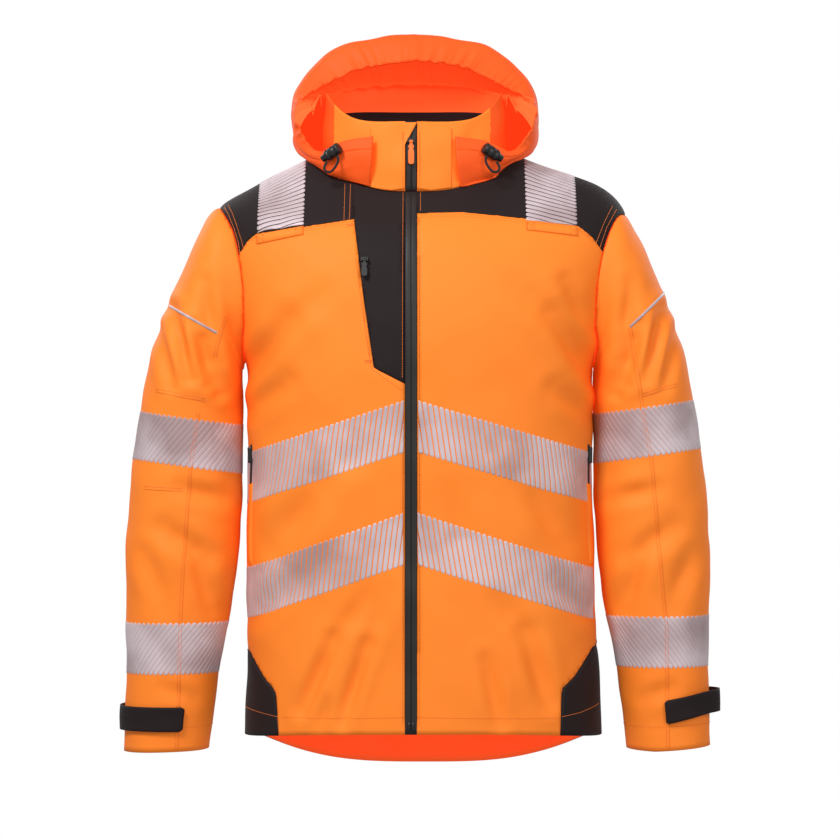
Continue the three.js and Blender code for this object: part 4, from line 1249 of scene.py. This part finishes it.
def hood_skin(turn, rise):
    """The hood with gathers on its brim, soft folds on its sides and a slow ripple."""
    place, normal = pressed(hood_form, 1, turn, rise, None, [(0.12, 1.6 * MM, 0.7), (0.05, 0.7 * MM, 2.2)])
    free = 1 - np.clip((rise - 0.62) / 0.3, 0, 1)
    narrow = np.where(place[..., 0] < 0, 0.034, 0.016) * free
    place[..., 0] *= 1 - narrow
    outward = np.clip((np.abs(place[..., 0] + 4 * MM) / MM - 82) / 45, 0, 1)
    lobe = outward * np.clip((70 - place[..., 2] / MM) / 60, 0, 1)
    place[..., 2] -= LOBE_DROP * lobe * free
    run = turn * HOOD_EDGE
    fade = np.clip(1 - rise / (0.8 * BRIM_SHARE), 0, 1) ** 1.3
    middle = np.clip(np.sin(np.pi * np.clip(turn, 0, 1)) * 1.6, 0, 1)
    puckers = gather(run, 17.0, 0.6) + 0.45 * gather(run, 8.3, 1.9)
    place = place + normal * (1.9 * MM * puckers * fade * middle)[..., None]
    place[..., 1] -= 1.5 * MM * gather(run, 12.0, 2.4) * fade**2 * middle
    seam = np.exp(-(((rise - 0.92 * BRIM_SHARE) / 0.018) ** 2))
    place = place - normal * (1.3 * MM * seam * (0.8 + 0.2 * puckers))[..., None]
    for at_turn, at_rise, width, depth in HOOD_FOLDS:
        gap = np.hypot((turn - at_turn - 0.25 * (rise - at_rise)) / width, (rise - at_rise) / 0.32)
        place = place - normal * (depth * MM * np.exp(-(4 * gap) ** 2 / 2))[..., None]
    x, y, z = (place[..., k] / MM for k in range(3))
    aside = np.exp(-(((np.abs(x + 6) - 102) / 24) ** 2))
    slack = aside * np.clip((22 - z) / 32, 0, 1) * np.clip((-y - 2) / 20, 0, 1)
    place = place - np.stack([np.zeros_like(slack), SLACK_OUT * slack, SLACK_DROP * slack], axis=-1)
    return place, normal


HOOD_OFF_YOKE = 2.8 * MM
HOOD_FRONT_TOP = 20 * MM
hood_mesh = grid_mesh("hood_grid", make_surface(hood_skin, 1, 300, 96, False, 0.66, 0.28))
raised = 0
for corner in hood_mesh.vertices:
    if corner.co.y > 0 or corner.co.z > HOOD_FRONT_TOP:
        continue
    yoke_spot, _ = cast(torso_tree, "front", corner.co.x, corner.co.z)
    if yoke_spot is not None and -HOOD_OFF_YOKE < corner.co.y - yoke_spot.y < 30 * MM:
        corner.co.y = yoke_spot.y - HOOD_OFF_YOKE
        raised += 1
print("hood corners raised off the yokes", raised)

hood = put_in_scene("hood_cloth", hood_mesh)
sew("hood", hood, (0.80, 0.32), "gathered")
thicken(hood)
# The hood's outside is the deeper orange, painted shade; its inside has painted shade and a painted glow.
dress(hood, "hood", "orange_cloth", (HOOD_ORANGE_PAINTED_SHADE, ORANGE_PAINTED_SHADE_GLOW))


# %% The fold of hood cloth that lies behind the collar
# share of the way from the brim's edge to the collar, height in millimetres
LIP_SECTION = np.array([
    [0, 2],
    [0.18, 3.5],
    [0.4, 3],
    [0.62, -0.5],
    [0.67, -3],
    [0.62, -4.5],
    [0.78, -1],
    [1, 3],
    [1.05, -14],
])


def hood_fold_skin(turn, rise):
    """From the brim's inner edge back to the collar, with a lip that hangs over halfway."""
    share = 0.16 + 0.68 * turn
    edge, _ = hood_skin(share, np.zeros_like(share))
    side = np.where(share < 0.5, -1.0, 1.0)
    columns = along(HOOD_STRIPS, 1 - np.abs(2 * share - 1))
    angle = np.where(side > 0, columns[9], 180 - columns[9])
    collar, _ = pressed(collar_points, 1, angle / 360, np.full_like(angle, 0.93))
    out = np.stack([np.cos(np.radians(angle)), np.sin(np.radians(angle)), np.zeros_like(angle)], axis=-1)
    collar = collar + out * 7 * MM
    knots = np.linspace(0, 1, len(LIP_SECTION))
    forward = np.interp(rise, knots, LIP_SECTION[:, 0])[..., None]
    lift = np.interp(rise, knots, LIP_SECTION[:, 1])
    run = share * HOOD_EDGE
    lip = np.exp(-(((rise - 0.57) / 0.2) ** 2))
    lift = lift + 2.2 * lip * gather(run, 23.0, 1.2)
    lift = lift + 1.0 * gather(run, 9.0, 0.3) * np.exp(-((rise / 0.4) ** 2))
    place = edge + (collar - edge) * forward
    place[..., 2] += lift * MM
    return place, np.zeros_like(place)


fold_mesh = grid_mesh("hood_fold_grid", make_surface(hood_fold_skin, 1, 200, 42, False, 0.45, 0.09))
hood_fold = put_in_scene("hood_fold_cloth", fold_mesh)
thicken(hood_fold, LINING)
# Both sides of the fold are the redder orange with a strong emission: painted shade and a painted glow.
dress(hood_fold, None, "orange_cloth", (ORANGE_PAINTED_SHADE_GLOW, ORANGE_PAINTED_SHADE_GLOW))
CLOTHS["hood"]["trim"].append(hood_fold)


# %% Collar, strips and lining
# degrees round, rise, width in degrees, depth in millimetres
COLLAR_FOLDS = [(-128, 0.5, 6, 1.6), (-55, 0.5, 6, 1.4), (30, 0.6, 7, 1.5), (150, 0.6, 7, 1.5)]
# Beyond these places across, the collar's outside is the hood's deeper orange: painted shade on its sides.
COLLAR_PAINTED_SHADE_LIMITS = (-100 * MM, 86 * MM)  # the shell's lighter orange lies between these places across


def collar_skin(turn, rise):
    """The stand collar, a little slack beside the zip strips."""
    place, normal = pressed(collar_points, 1, turn, rise, None, [(0.07, 1.0 * MM, 0.9)])
    degrees = turn * 360.0
    for at, at_rise, width, depth in COLLAR_FOLDS:
        gap = (degrees - at % 360 - 14 * (rise - at_rise)) / width
        press = depth * MM * np.exp(-(gap**2)) * np.sin(np.pi * np.clip(rise, 0, 1))
        place = place - normal * press[..., None]
    return place, normal


collar_mesh = grid_mesh("collar_grid", make_surface(collar_skin, 1, 260, 26, True, 0.58, 0.08))
collar_tree = tree_of(collar_mesh)
collar_cut = bmesh.new()
collar_cut.from_mesh(collar_mesh)
cut_by_field(collar_cut, limited(in_zip, near_zip))
collar_cut.faces.index_update()
zip_faces, cloth_faces = [], []
for face in collar_cut.faces:
    middle = face.calc_center_median()
    group = zip_faces if middle.y < 0 and in_zip(middle) > 0 else cloth_faces
    group.append(face)
collar_cloth = make_panel(collar_cut, cloth_faces, "collar", "orange_lining",
                          (ORANGE, ORANGE_PAINTED_SHADE_GLOW, HOOD_ORANGE_PAINTED_SHADE, ORANGE_PAINTED_SHADE_GLOW), (0.62, 0.09), lambda p: True)
# Painted shade: the collar's sides beyond these places take the hood's deeper orange.
for polygon in collar_cloth.data.polygons:
    if not COLLAR_PAINTED_SHADE_LIMITS[0] < polygon.center.x < COLLAR_PAINTED_SHADE_LIMITS[1]:
        polygon.material_index = 2
make_panel(collar_cut, zip_faces, "collar_zip", "zip_tape", (ZIP_TAPE, ZIP_TAPE), (0.02, 0.09),
           lambda p: True)
collar_cut.free()
print("collar ready")


def strip_skin(side, turn, rise):
    """A strip beside the zip, on the collar; the right one folds over the zip's top as a garage."""
    near, far = ZIP_X / MM + side * 7.3, ZIP_X / MM + side * 47.5
    x = near + (far - near) * turn
    low, high = -42 + 6 * np.abs(turn - 0.4), 38.5 - 7 * turn**2
    z = low + (high - low) * rise
    if side < 0:
        over = np.clip((rise - 0.66) / 0.34, 0, 1)
        x = x + (1 - turn) ** 3 * over * 14.0
    place, normal = np.zeros((*x.shape, 3)), np.zeros((*x.shape, 3))
    for index in np.ndindex(x.shape):
        spot, face = cast(collar_tree, "front", x[index] * MM, z[index] * MM)
        if spot is None:
            spot, face, _, _ = collar_tree.find_nearest(Vector((x[index] * MM, -0.076, z[index] * MM)))
        place[index], normal[index] = spot, face
    lift = 2.3 - 1.2 * turn**2 + 0.9 * np.exp(-((turn / 0.06) ** 2))
    lift = lift + 0.35 * np.sin(9 * turn + 5 * rise + side)
    return place + normal * (lift * MM)[..., None], normal


for name, side in SIDES.items():
    surface = make_surface(partial(strip_skin, side), side, 36, 40, False, 0.04, 0.08)
    strip = put_in_scene(f"collar_strip_{name}_cloth", grid_mesh("strip_grid", surface))
    sew(f"collar_strip_{name}", strip, (0.045, 0.10))
    thicken(strip, 1.8 * MM)
    dress(strip, f"collar_strip_{name}", "orange_cloth", (ORANGE, ORANGE))


def lining_skin(turn, rise):
    """The dark lining inside the collar, round the back of the neck."""
    place, normal = collar_skin(-0.015 + 0.53 * turn, 0.10 + 0.51 * rise)
    return place - normal * 3.2 * MM, -normal


surface = make_surface(lining_skin, -1, 120, 16, False, 0.30, 0.05)
lining = put_in_scene("neck_lining_cloth", grid_mesh("lining_grid", surface))
sew("neck_lining", lining, (0.34, 0.06))
thicken(lining, LINING)
dress(lining, "neck_lining", "black_lining", (BLACK_LINING, BLACK_LINING))
print("strips and lining on the collar")

# %% [markdown]
# ## Zips and pulls
# The zip has two rubbered film edges that meet in a groove over the coil. They're rolled over at the
# groove, so a ribbon with that cross-section is laid down the front and up the collar. The slider and
# its pull tab are small mouldings with rounded edges, and the pull keeps its own body for the swing.

# %% Zip films, coil and stops
ZIP_PROFILE = [(-6.9, -0.4), (-6.7, 0.15), (-5.4, 0.45), (-1.0, 0.9), (-0.4, 0.75), (-0.2, -0.2),
               (0.2, -0.2), (0.4, 0.75), (1.0, 0.9), (5.4, 0.45), (6.7, 0.15), (6.9, -0.4)]
STOP_PROFILE = [(-1.6, -0.3), (-1.4, 1.4), (-0.8, 1.9), (0.8, 1.9), (1.4, 1.4), (1.6, -0.3)]
places, normals = path_on(torso_tree, [(-8, -44), (-8, -673)], "front", 5.0)
trim(ribbon("main_zip_films", places, normals, ZIP_PROFILE), None, "main_zip", "zip_tape", ZIP_TAPE)
places, normals = path_on(collar_tree, [(-8, 34), (-8, -41)], "front", 3.0)
trim(ribbon("collar_zip_films", places, normals, ZIP_PROFILE), None, "collar_zip", "zip_tape", ZIP_TAPE)
sew_lines("zip_coil", [(collar_tree, [(-8 + x, 6), (-8 + x, -40)], "front") for x in (-1.0, 1.0)],
          PLASTIC, "black_plastic", "collar_zip", pitch=1.9, length=1.1, width=1.7, height=1.5)
for index, x in enumerate((-10.2, -5.8)):
    places, normals = path_on(torso_tree, [(x, -661), (x, -672)], "front", 2.0)
    stop = ribbon(f"zip_stop_{index}", places, normals, STOP_PROFILE)
    trim(stop, None, "main_zip", "black_plastic", PLASTIC)
print("zip films, coil and stops")


# %% Small mouldings
def rounded(bm, width, amount=2):
    """Rounds every edge of a bmesh that is a real corner."""
    corner = math.radians(25)
    edges = [e for e in bm.edges if len(e.link_faces) == 2 and e.calc_face_angle(0.0) > corner]
    bmesh.ops.bevel(bm, geom=edges, offset=width, segments=amount, affect="EDGES", profile=0.6,
                    clamp_overlap=True)


def take_in(target, bm):
    """Moves one bmesh's faces into another."""
    mesh = bpy.data.meshes.new("part")
    bm.to_mesh(mesh)
    bm.free()
    target.from_mesh(mesh)
    bpy.data.meshes.remove(mesh)


def box_into(target, x0, x1, y0, y1, z0, z1, bevel):
    """Adds a rounded box, in millimetres, to a bmesh."""
    bm = bmesh.new()
    bmesh.ops.create_cube(bm, size=1.0)
    spans = ((x0, x1), (y0, y1), (z0, z1))
    for v in bm.verts:
        v.co = Vector([(low + high) / 2 + share * (high - low) for (low, high), share in zip(spans, v.co)])
    rounded(bm, bevel)
    take_in(target, bm)


def plate_into(target, outline, y0, y1, bevel):
    """Adds a rounded plate with an outline in x and z, in millimetres, to a bmesh."""
    bm = bmesh.new()
    low = [bm.verts.new((x, y0, z)) for x, z in outline]
    high = [bm.verts.new((x, y1, z)) for x, z in outline]
    bm.faces.new(low)
    bm.faces.new(list(reversed(high)))
    for i in range(len(outline)):
        j = (i + 1) % len(outline)
        bm.faces.new((low[j], low[i], high[i], high[j]))
    bmesh.ops.recalc_face_normals(bm, faces=bm.faces)
    rounded(bm, bevel)
    take_in(target, bm)


def pin_into(target, radius, half_length, y, bevel=0.25):
    """Adds a pin along X, in millimetres, to a bmesh."""
    bm = bmesh.new()
    turn = Matrix.Rotation(math.radians(90), 4, "Y")
    place = Matrix.Translation((0, y, 0)) @ turn
    bmesh.ops.create_cone(bm, cap_ends=True, segments=24, radius1=radius, radius2=radius,
                          depth=2 * half_length, matrix=place)
    rounded(bm, bevel, 1)
    take_in(target, bm)


def moulding(name, bm, place, tilt):
    """An object of a bmesh drawn in millimetres, put at a place and tilted about X."""
    bmesh.ops.scale(bm, vec=(MM, MM, MM), verts=bm.verts)
    bmesh.ops.rotate(bm, verts=bm.verts, cent=(0, 0, 0), matrix=Matrix.Rotation(tilt, 3, "X"))
    bmesh.ops.translate(bm, vec=place, verts=bm.verts)
    mesh = bpy.data.meshes.new(name)
    bm.to_mesh(mesh)
    bm.free()
    for polygon in mesh.polygons:
        polygon.use_smooth = polygon.area < 2.5e-6
    return put_in_scene(name, mesh)


# %% Sliders and pull tabs
PIN_OUT = 5.6
PULLS = [
    # slider, pull, its body, where it lies, x, z, length, finish, slot
    ("zip_slider", "zip_pull", "zip_pull_tab", collar_points, -8.0, 15.0, 27.0,
     PULL_ORANGE, "orange_pull"),
    ("pocket_slider", "pocket_pull", "pocket_pull_tab", torso_points, -62.0, -128.0, 20.0,
     PLASTIC, "black_plastic"),
]
SLIDER_HALF = [(4.4, 4.9), (4.5, 0), (3.4, -4), (3.1, -6.9)]
SLIDER_OUTLINE = [(-4.4, 4.9)] + SLIDER_HALF + [(-3.1, -6.9), (-3.4, -4), (-4.5, 0)]


def tab_outline(length):
    """The outline of a pull tab: a neck under the pin, a waist like a bow tie, a rounded blade."""
    right = [(1.9, -0.8), (1.9, -3.6), (3.3, -4.6), (3.4, -6.6), (2.3, -8.4), (3.3, -10.2), (3.5, -12.0),
             (3.5, -length + 3.0), (3.0, -length + 1.2), (2.0, -length + 0.3), (0.8, -length)]
    return right + [(-x, z) for x, z in reversed(right)]


for slider_name, pull_name, body, points, x, z, length, finish, slot_name in PULLS:
    turn = np.array([turn_at(points, x * MM, z * MM, 0.5, 1.0)])
    rise = solve_rise(points, turn, lambda px: z * MM + 0 * px, 1)
    place, normal = pressed(points, 1, turn, rise)
    place, normal = Vector(place[0]), normal[0]
    tilt = math.atan2(-normal[2], -normal[1])
    slider_shape = bmesh.new()
    plate_into(slider_shape, SLIDER_OUTLINE, -3.3, -1.2, 0.6)
    for sign in (-1, 1):
        low, high = sorted((sign * 2.6, sign * 4.2))
        box_into(slider_shape, low, high, -PIN_OUT - 1.5, -2.8, -1.8, 1.8, 0.5)
    pin_into(slider_shape, 0.8, 3.2, -PIN_OUT, 0.1)
    slider = moulding(f"{slider_name}_moulding", slider_shape, place, tilt)
    dress(slider, slider_name, "black_plastic", PLASTIC)
    tab_shape = bmesh.new()
    plate_into(tab_shape, tab_outline(length), -PIN_OUT - 0.9, -PIN_OUT + 0.9, 0.45)
    pin_into(tab_shape, 1.9, 2.2, -PIN_OUT)
    if slider_name == "zip_slider":
        for sign in (-1, 1):
            low, high = sorted((sign * 0.55, sign * 1.5))
            box_into(tab_shape, low, high, -PIN_OUT - 1.15, -PIN_OUT, -length + 5, -13, 0.25)
    tab = moulding(f"{pull_name}_moulding", tab_shape, place, tilt)
    dress(tab, pull_name, slot_name, finish, body)
    print(pull_name, "pin at", [round(v, 5) for v in place])


# %% Hand pocket zips
HAND_ZIP_HALF = [(-4, -0.3), (-3.8, 0.8), (-3.0, 1.2), (-0.5, 1.5), (-0.2, 0.4)]
HAND_ZIP_PROFILE = HAND_ZIP_HALF + [(-x, height) for x, height in reversed(HAND_ZIP_HALF)]
HAND_PULL_PROFILE = [(-2.9, 1.0), (-2.7, 3.7), (-1.8, 4.5), (1.8, 4.5), (2.7, 3.7), (2.9, 1.0)]
WELT_PROFILE = [(-8, -0.3), (-7.6, 0.9), (-6.6, 1.7), (0, 2.1), (5.6, 1.9), (6.6, 1.2), (7, -0.3)]
for name in SIDES:
    places, normals = path_on(torso_tree, [(-54, -340), (-54, -478)], name, 4.0)
    strip = ribbon(f"hand_zip_{name}_films", places, normals, HAND_ZIP_PROFILE)
    trim(strip, f"hand_zip_{name}", f"front_{name}", "zip_tape", ZIP_TAPE)
    places, normals = path_on(torso_tree, [(-55, -385), (-55, -484)], name, 4.0)
    welt = ribbon(f"pocket_welt_{name}", places, normals, WELT_PROFILE)
    trim(welt, None, f"front_{name}", "orange_cloth", ORANGE)
    places, normals = path_on(torso_tree, [(-54, -343), (-54, -364)], name, 1.5)
    pull = ribbon(f"hand_zip_pull_{name}_moulding", places, normals, HAND_PULL_PROFILE)
    trim(pull, f"hand_zip_pull_{name}", f"front_{name}", "black_plastic", PLASTIC)
    print(f"hand pocket zip {name}: {len(places)} places along its pull")


# %% [markdown]
# ## Cord locks and cuff tabs
# A cord lock is a turned barrel with a sprung button, and the elastic cord comes out of it in a short
# loop. The cuff tabs are doubled cloth laid round the wrist. The left one isn't pressed down at its
# end, so its tip stands off the sleeve as it does in the photograph.

# %% Cord locks and their cord
LOCKS = {"right": (0.045, 0.28, 0.6), "left": (0.96, 0.28, 0.2)}  # turn, rise, millimetres sunk in
LOCK_TILT = 0.55
# radius and place along the lock: barrel with two grooves, then the button
LOCK_PROFILE = [(0, -10), (3.4, -10), (5.6, -9.9), (6.6, -9.3), (7, -8.2), (7, -5.4), (6.6, -5.0),
                (6.6, -3.9), (7, -3.5), (7, 3.5), (6.6, 3.9), (6.6, 5.0), (7, 5.4), (7, 8.4), (6.5, 9.5),
                (5.2, 10), (4.7, 10.1), (4.6, 15.2), (4.1, 16.5), (2.9, 17), (0, 17)]
CORD_ROUTE = [(-5, -4, -5), (-6, -5, -11), (-3, -6, -18), (3, -6, -24), (9, -6, -23), (10, -5, -18),
              (7, -4, -12.2)]
CORD_RADIUS = 1.5 * MM
LATHE_TURNS = 40
for name, (turn, rise, sink) in LOCKS.items():
    place, normal = pressed(hood_points, 1, np.array([turn]), np.array([rise]))
    place, normal = Vector(place[0]), Vector(normal[0])
    place = place + normal * (7.3 - sink) * MM
    away = SIDES[name]
    lean = Vector((away, 0, -LOCK_TILT))
    lean = (lean - normal * lean.dot(normal)).normalized()
    across = lean.cross(normal).normalized()
    up = across.cross(lean)
    vertices, faces = [], []
    for r, h in LOCK_PROFILE:
        for k in range(LATHE_TURNS):
            angle = 2 * math.pi * k / LATHE_TURNS
            spoke = across * math.cos(angle) + up * math.sin(angle)
            vertices.append(place + (lean * h + spoke * max(r, 0.01)) * MM)
    for row in range(len(LOCK_PROFILE) - 1):
        for k in range(LATHE_TURNS):
            n = (k + 1) % LATHE_TURNS
            here, there = row * LATHE_TURNS, (row + 1) * LATHE_TURNS
            faces.append((here + k, here + n, there + n, there + k))
    lock = add_mesh(f"cord_lock_{name}_moulding", vertices, faces)
    for polygon in lock.data.polygons:
        polygon.use_smooth = True
    dress(lock, f"cord_lock_{name}", "black_plastic", PLASTIC)
    route = [np.array((away * x, y, z)) * MM + np.array(place) for x, y, z in CORD_ROUTE]
    line = path_point([np.tile(spot, (61, 1)) for spot in route], np.linspace(0, 1, 61))
    cord_curve = bpy.data.curves.new(f"cord_loop_{name}_curve", "CURVE")
    cord_curve.dimensions = "3D"
    cord_curve.bevel_depth = CORD_RADIUS
    cord_curve.bevel_resolution = 4
    cord_curve.use_fill_caps = True
    spline = cord_curve.splines.new("POLY")
    spline.points.add(len(line) - 1)
    for point, spot in zip(spline.points, line):
        point.co = (*spot, 1.0)
    cord = put_in_scene(f"cord_loop_{name}_elastic", cord_curve)
    dress(cord, f"cord_loop_{name}", "elastic_cord", CORD)
    tuple(float(v) for v in line[0])


# %% Cuff tabs and sleeve piping
CUFF_TABS = {
    # turns round the sleeve, line of its middle, height, how far its end stands off
    "right": ((0.692, 1.12), front_line(-400, -666, -279, -665), 29.0, 2.0),
    "left": ((0.735, 1.10), front_line(293, -657, 393, -638), 29.0, 9.0),
}
PIPING = {"right": [(-296, -176), (-236, -210)], "left": [(294, -160), (249, -203)]}
PIPING_PROFILE = [(-1.7, -0.4), (-1.45, 0.7), (-0.8, 1.2), (0.8, 1.2), (1.45, 0.7), (1.7, -0.4)]
for name, side in SIDES.items():
    turns, line, height, stand = CUFF_TABS[name]
    place_at, length = band_mapper(SLEEVE_FORM[name], SLEEVE_SKIN[name], -1, turns, line)

    def tab_skin(turn, rise):
        """A doubled tab with rounded corners, whose free end lifts off the sleeve."""
        edge = np.minimum(turn, 1 - turn) * length
        half = height / 2 * np.sqrt(np.clip(1 - np.clip(1 - edge / 5.0, 0, 1) ** 2 * 0.35, 0, 1))
        place, normal = place_at(turn * length, (2 * rise - 1) * half)
        off = 2.3 + stand * np.exp(-(((turn - 0.62) / 0.14) ** 2)) + 0.4 * np.sin(9 * turn + 4 * rise)
        return place + normal * (off * MM)[..., None], normal

    surface = make_surface(tab_skin, -side, 60, 10, False, length * MM, height * MM)
    tab = put_in_scene(f"cuff_tab_{name}_cloth", grid_mesh("cuff_grid", surface))
    sew(f"cuff_tab_{name}", tab, (length * MM * 1.02, height * MM * 1.02), "laid")
    thicken(tab)
    dress(tab, f"cuff_tab_{name}", "black_cloth", (BLACK, BLACK))
    places, normals = path_on(sleeve_trees[name], PIPING[name], "front", 2.0)
    piping = ribbon(f"piping_{name}_film", places, normals, PIPING_PROFILE)
    trim(piping, f"piping_{name}", f"sleeve_{name}", "reflective_tape", SILVER)
    print(f"cuff tab {name}: {length:.0f} mm round the wrist")

# %% [markdown]
# ## Seams and stitching
# Every stitch is a short raised piece of thread, laid along lines that are read off the photograph in
# millimetres of the front view. The black cloth is sewn in orange, the orange cloth in its own colour.
# Lapped seams on the sleeves are thin raised strips, since the seam allowance lies under them.

# %% Lapped seams of the sleeves
SLEEVE_SEAMS = {
    "right": [
        [(-259, -305), (-268, -371), (-276, -480), (-280, -553), (-283, -650), (-285, -700)],
        [(-227, -190), (-234, -214), (-239, -236)],
        [(-309, -277), (-280, -283), (-252, -288)],
        [(-322, -392), (-301, -393), (-280, -394)],
    ],
    "left": [
        [(250, -205), (262, -282), (265, -304), (275, -361), (288, -513), (293, -555), (294, -642),
         (295, -700)],
        [(266, -282), (285, -276), (304, -271)],
    ],
}
LAP_PROFILE = [(-2.6, -0.5), (-2.4, 0.1), (-2.0, 0.3), (2.0, 0.2), (2.6, -0.5)]
for name in SIDES:
    tree = sleeve_trees[name]
    lines = []
    for index, path in enumerate(SLEEVE_SEAMS[name]):
        places, normals = path_on(tree, path, "front", 4.0)
        lap = ribbon(f"sleeve_seam_{name}_{index}", places, normals, LAP_PROFILE)
        trim(lap, None, f"sleeve_{name}", "orange_cloth", ORANGE)
        (from_x, from_z), (to_x, to_z) = path[0], path[-1]
        level = abs(to_x - from_x) > abs(to_z - from_z)
        for offset in (-1.6, 1.6):
            shift_x, shift_z = (0, offset) if level else (offset, 0)
            lines.append((tree, [(x + shift_x, z + shift_z) for x, z in path], "front"))
    sew_lines(f"sleeve_stitches_{name}", lines, SHELL_THREAD, "orange_cloth", f"sleeve_{name}", lift=0.35)


# %% Orange thread on the black cloth
def offset_line(line, up, low, high):
    """A seam line moved up or down, between two places across."""
    xs = np.linspace(low, high, 60)
    return [(x, float(line_height(line, x)) + up) for x in xs]


BLACK_SEAMS = [
    [(-17.5, -42), (-17.8, -150), (-18.0, -262)],
    [(3.0, -40), (3.0, -66)],
    [(-86.4, -33), (-86.6, -77)],
    [(-79.8, -34), (-80.2, -76)],
]
sew_lines("orange_stitches_chest", [(torso_tree, path, "front") for path in BLACK_SEAMS],
          ORANGE_THREAD, "orange_cloth", "chest_panel", pitch=2.9, width=0.65)
SHOULDER_SEAMS = {
    "right": [[(-231, -58), (-225, -68), (-218, -84), (-212, -102), (-210, -114)],
              [(-226, -56), (-220, -67), (-213.5, -84), (-207.5, -102), (-206, -108)]],
    "left": [[(236, -62), (230, -72), (223, -84.5), (216.5, -102.5), (214, -110)],
             [(231, -58), (225.5, -68), (218.5, -82), (212, -98), (210, -103)]],
}
for name, paths in SHOULDER_SEAMS.items():
    sew_lines(f"orange_stitches_shoulder_{name}", [(torso_tree, path, "front") for path in paths],
              ORANGE_THREAD, "orange_cloth", f"yoke_front_{name}", pitch=2.9, width=0.65)
TACKS = [[(-82.5, -84), (-76.5, -82)], [(-82.5, -86), (-76.5, -84)],
         [(-61, -243), (-54, -243)], [(-61, -245), (-54, -245)]]
sew_lines("bar_tacks", [(torso_tree, path, "front") for path in TACKS], ORANGE_THREAD, "orange_cloth",
          "front_right", pitch=1.1, length=1.0, width=1.0, height=0.6)
print(len(PIECES), "pieces so far")


# %% Thread of the shell's own colour
HEM_LINES = {"right": [(-158, -659), (-17, -656)], "left": [(1, -656), (100, -658), (162, -659)]}
GORE_HEMS = {"right": [(-165, -659), (-206, -653)], "left": [(169, -658), (190, -655), (214, -648)]}
BOX_TOP, BOX_BOTTOM = 2.2, 10.4  # of the boxes sewn on the loop tabs, below the shoulder tape
for name, side in SIDES.items():
    yoke = YOKE_EDGE_RIGHT if side < 0 else YOKE_EDGE_LEFT
    low, high = (-196, -84) if side < 0 else (4, 205)
    zip_side = ZIP_X / MM + side * (ZIP_HALF / MM + 2.6)
    top = -292 if side < 0 else -76
    lines = [
        (torso_tree, offset_line(yoke, -3.2, low, high), "front"),
        (torso_tree, offset_line(yoke, -5.6, low, high), "front"),
        (torso_tree, HEM_LINES[name], "front"),
        (torso_tree, [(zip_side, top), (zip_side, -664)], "front"),
    ]
    if side < 0:
        lines.append((torso_tree, [(x - 3, z) for x, z in CHEST_EDGE[2:5]] + [(-20, -277)], "front"))
    sew_lines(f"front_stitches_{name}", lines, SHELL_THREAD, "orange_cloth", f"front_{name}")
    gore = GORE_RIGHT if side < 0 else GORE_LEFT
    edge = [(x + side * 3, z) for x, z in gore[1:5]]
    edge[-1] = (edge[-1][0], -672)
    sew_lines(f"gore_stitches_{name}", [(torso_tree, edge, "front")], BLACK_THREAD, "black_cloth",
              f"side_gore_{name}")
    sew_lines(f"gore_hem_stitches_{name}", [(torso_tree, GORE_HEMS[name], "front")], ORANGE_THREAD,
              "orange_cloth", f"side_gore_{name}", pitch=2.9, width=0.65)
    x0, x1, z0, z1 = SHOULDER_TAPES[name]
    at = lambda x, drop: (x, z0 + (x - x0) * (z1 - z0) / (x1 - x0) - drop)
    box_lines = []
    for near, far in ((x0 + 1.2, x0 + 10), (x1 - 10, x1 - 1.2)):
        crossed = [[at(near, BOX_TOP), at(far, BOX_BOTTOM)], [at(near, BOX_BOTTOM), at(far, BOX_TOP)]]
        sides = [[at(x, BOX_TOP), at(x, BOX_BOTTOM)] for x in (near, far)]
        box_lines += crossed + sides
    sew_lines(f"loop_stitches_{name}", [(torso_tree, path, "front") for path in box_lines], SHELL_THREAD,
              "orange_cloth", f"front_{name}", pitch=2.2, length=1.7, lift=2.2)
back_lines = [(torso_tree, offset_line(YOKE_EDGE_BACK, -3.2, -205, 205), "back"),
              (torso_tree, offset_line(YOKE_EDGE_BACK, -5.6, -205, 205), "back")]
sew_lines("back_stitches", back_lines, SHELL_THREAD, "orange_cloth", "back")


# %% Rings of thread round cuffs, hem, hood and collar
def sew_ring(name, skin, turns, rise, count, slot_name, cloth):
    """Thread of the shell's colour along a row of a skin."""
    turn = np.linspace(turns[0], turns[1], count)
    place, normal = skin(turn, np.full(count, rise))
    thread = strips_mesh(name, stitch_grid(place, normal))
    return trim(thread, None, cloth, slot_name, SHELL_THREAD)


for name in SIDES:
    sew_ring(f"cuff_stitches_{name}", SLEEVE_SKIN[name], (0.0, 0.997), 0.972, 100, "orange_cloth",
             f"sleeve_{name}")
sew_ring("hem_stitches_back", torso_skin, (0.07, 0.43), 0.026, 110, "orange_cloth", "back")
sew_ring("brim_stitches", hood_skin, (0.02, 0.98), 0.92 * BRIM_SHARE, 190, "orange_cloth", "hood")
sew_ring("collar_top_stitches", collar_skin, (0.0, 0.52), 0.94, 90, "orange_lining", "collar")
strip_lines = [(collar_tree, [(-8 + x, 26), (-8 + x, -40)], "front") for x in (-9.6, 9.6)]
sew_lines("strip_stitches", strip_lines, SHELL_THREAD, "orange_cloth", "collar_strip_right", lift=2.9)
print(len(PIECES), "pieces in all")

# %% Cloth sizes and pieces
for node, cloth in CLOTHS.items():
    flat, area, pieces = cloth["flat"], cloth["area"], cloth["trim"]
    print(f"{node}: {area:.4f} m2, cut from {flat[0]:.2f} by {flat[1]:.2f} m, {len(pieces)} pieces on it")
depsgraph = bpy.context.evaluated_depsgraph_get()
triangles = {}
for obj in PIECES.values():
    shape = obj.evaluated_get(depsgraph).to_mesh()
    shape.calc_loop_triangles()
    triangles[obj.name] = len(shape.loop_triangles)
    obj.evaluated_get(depsgraph).to_mesh_clear()
largest = max(triangles, key=triangles.get)
print("triangles added", sum(triangles.values()), "and most of them in", largest, triangles[largest])
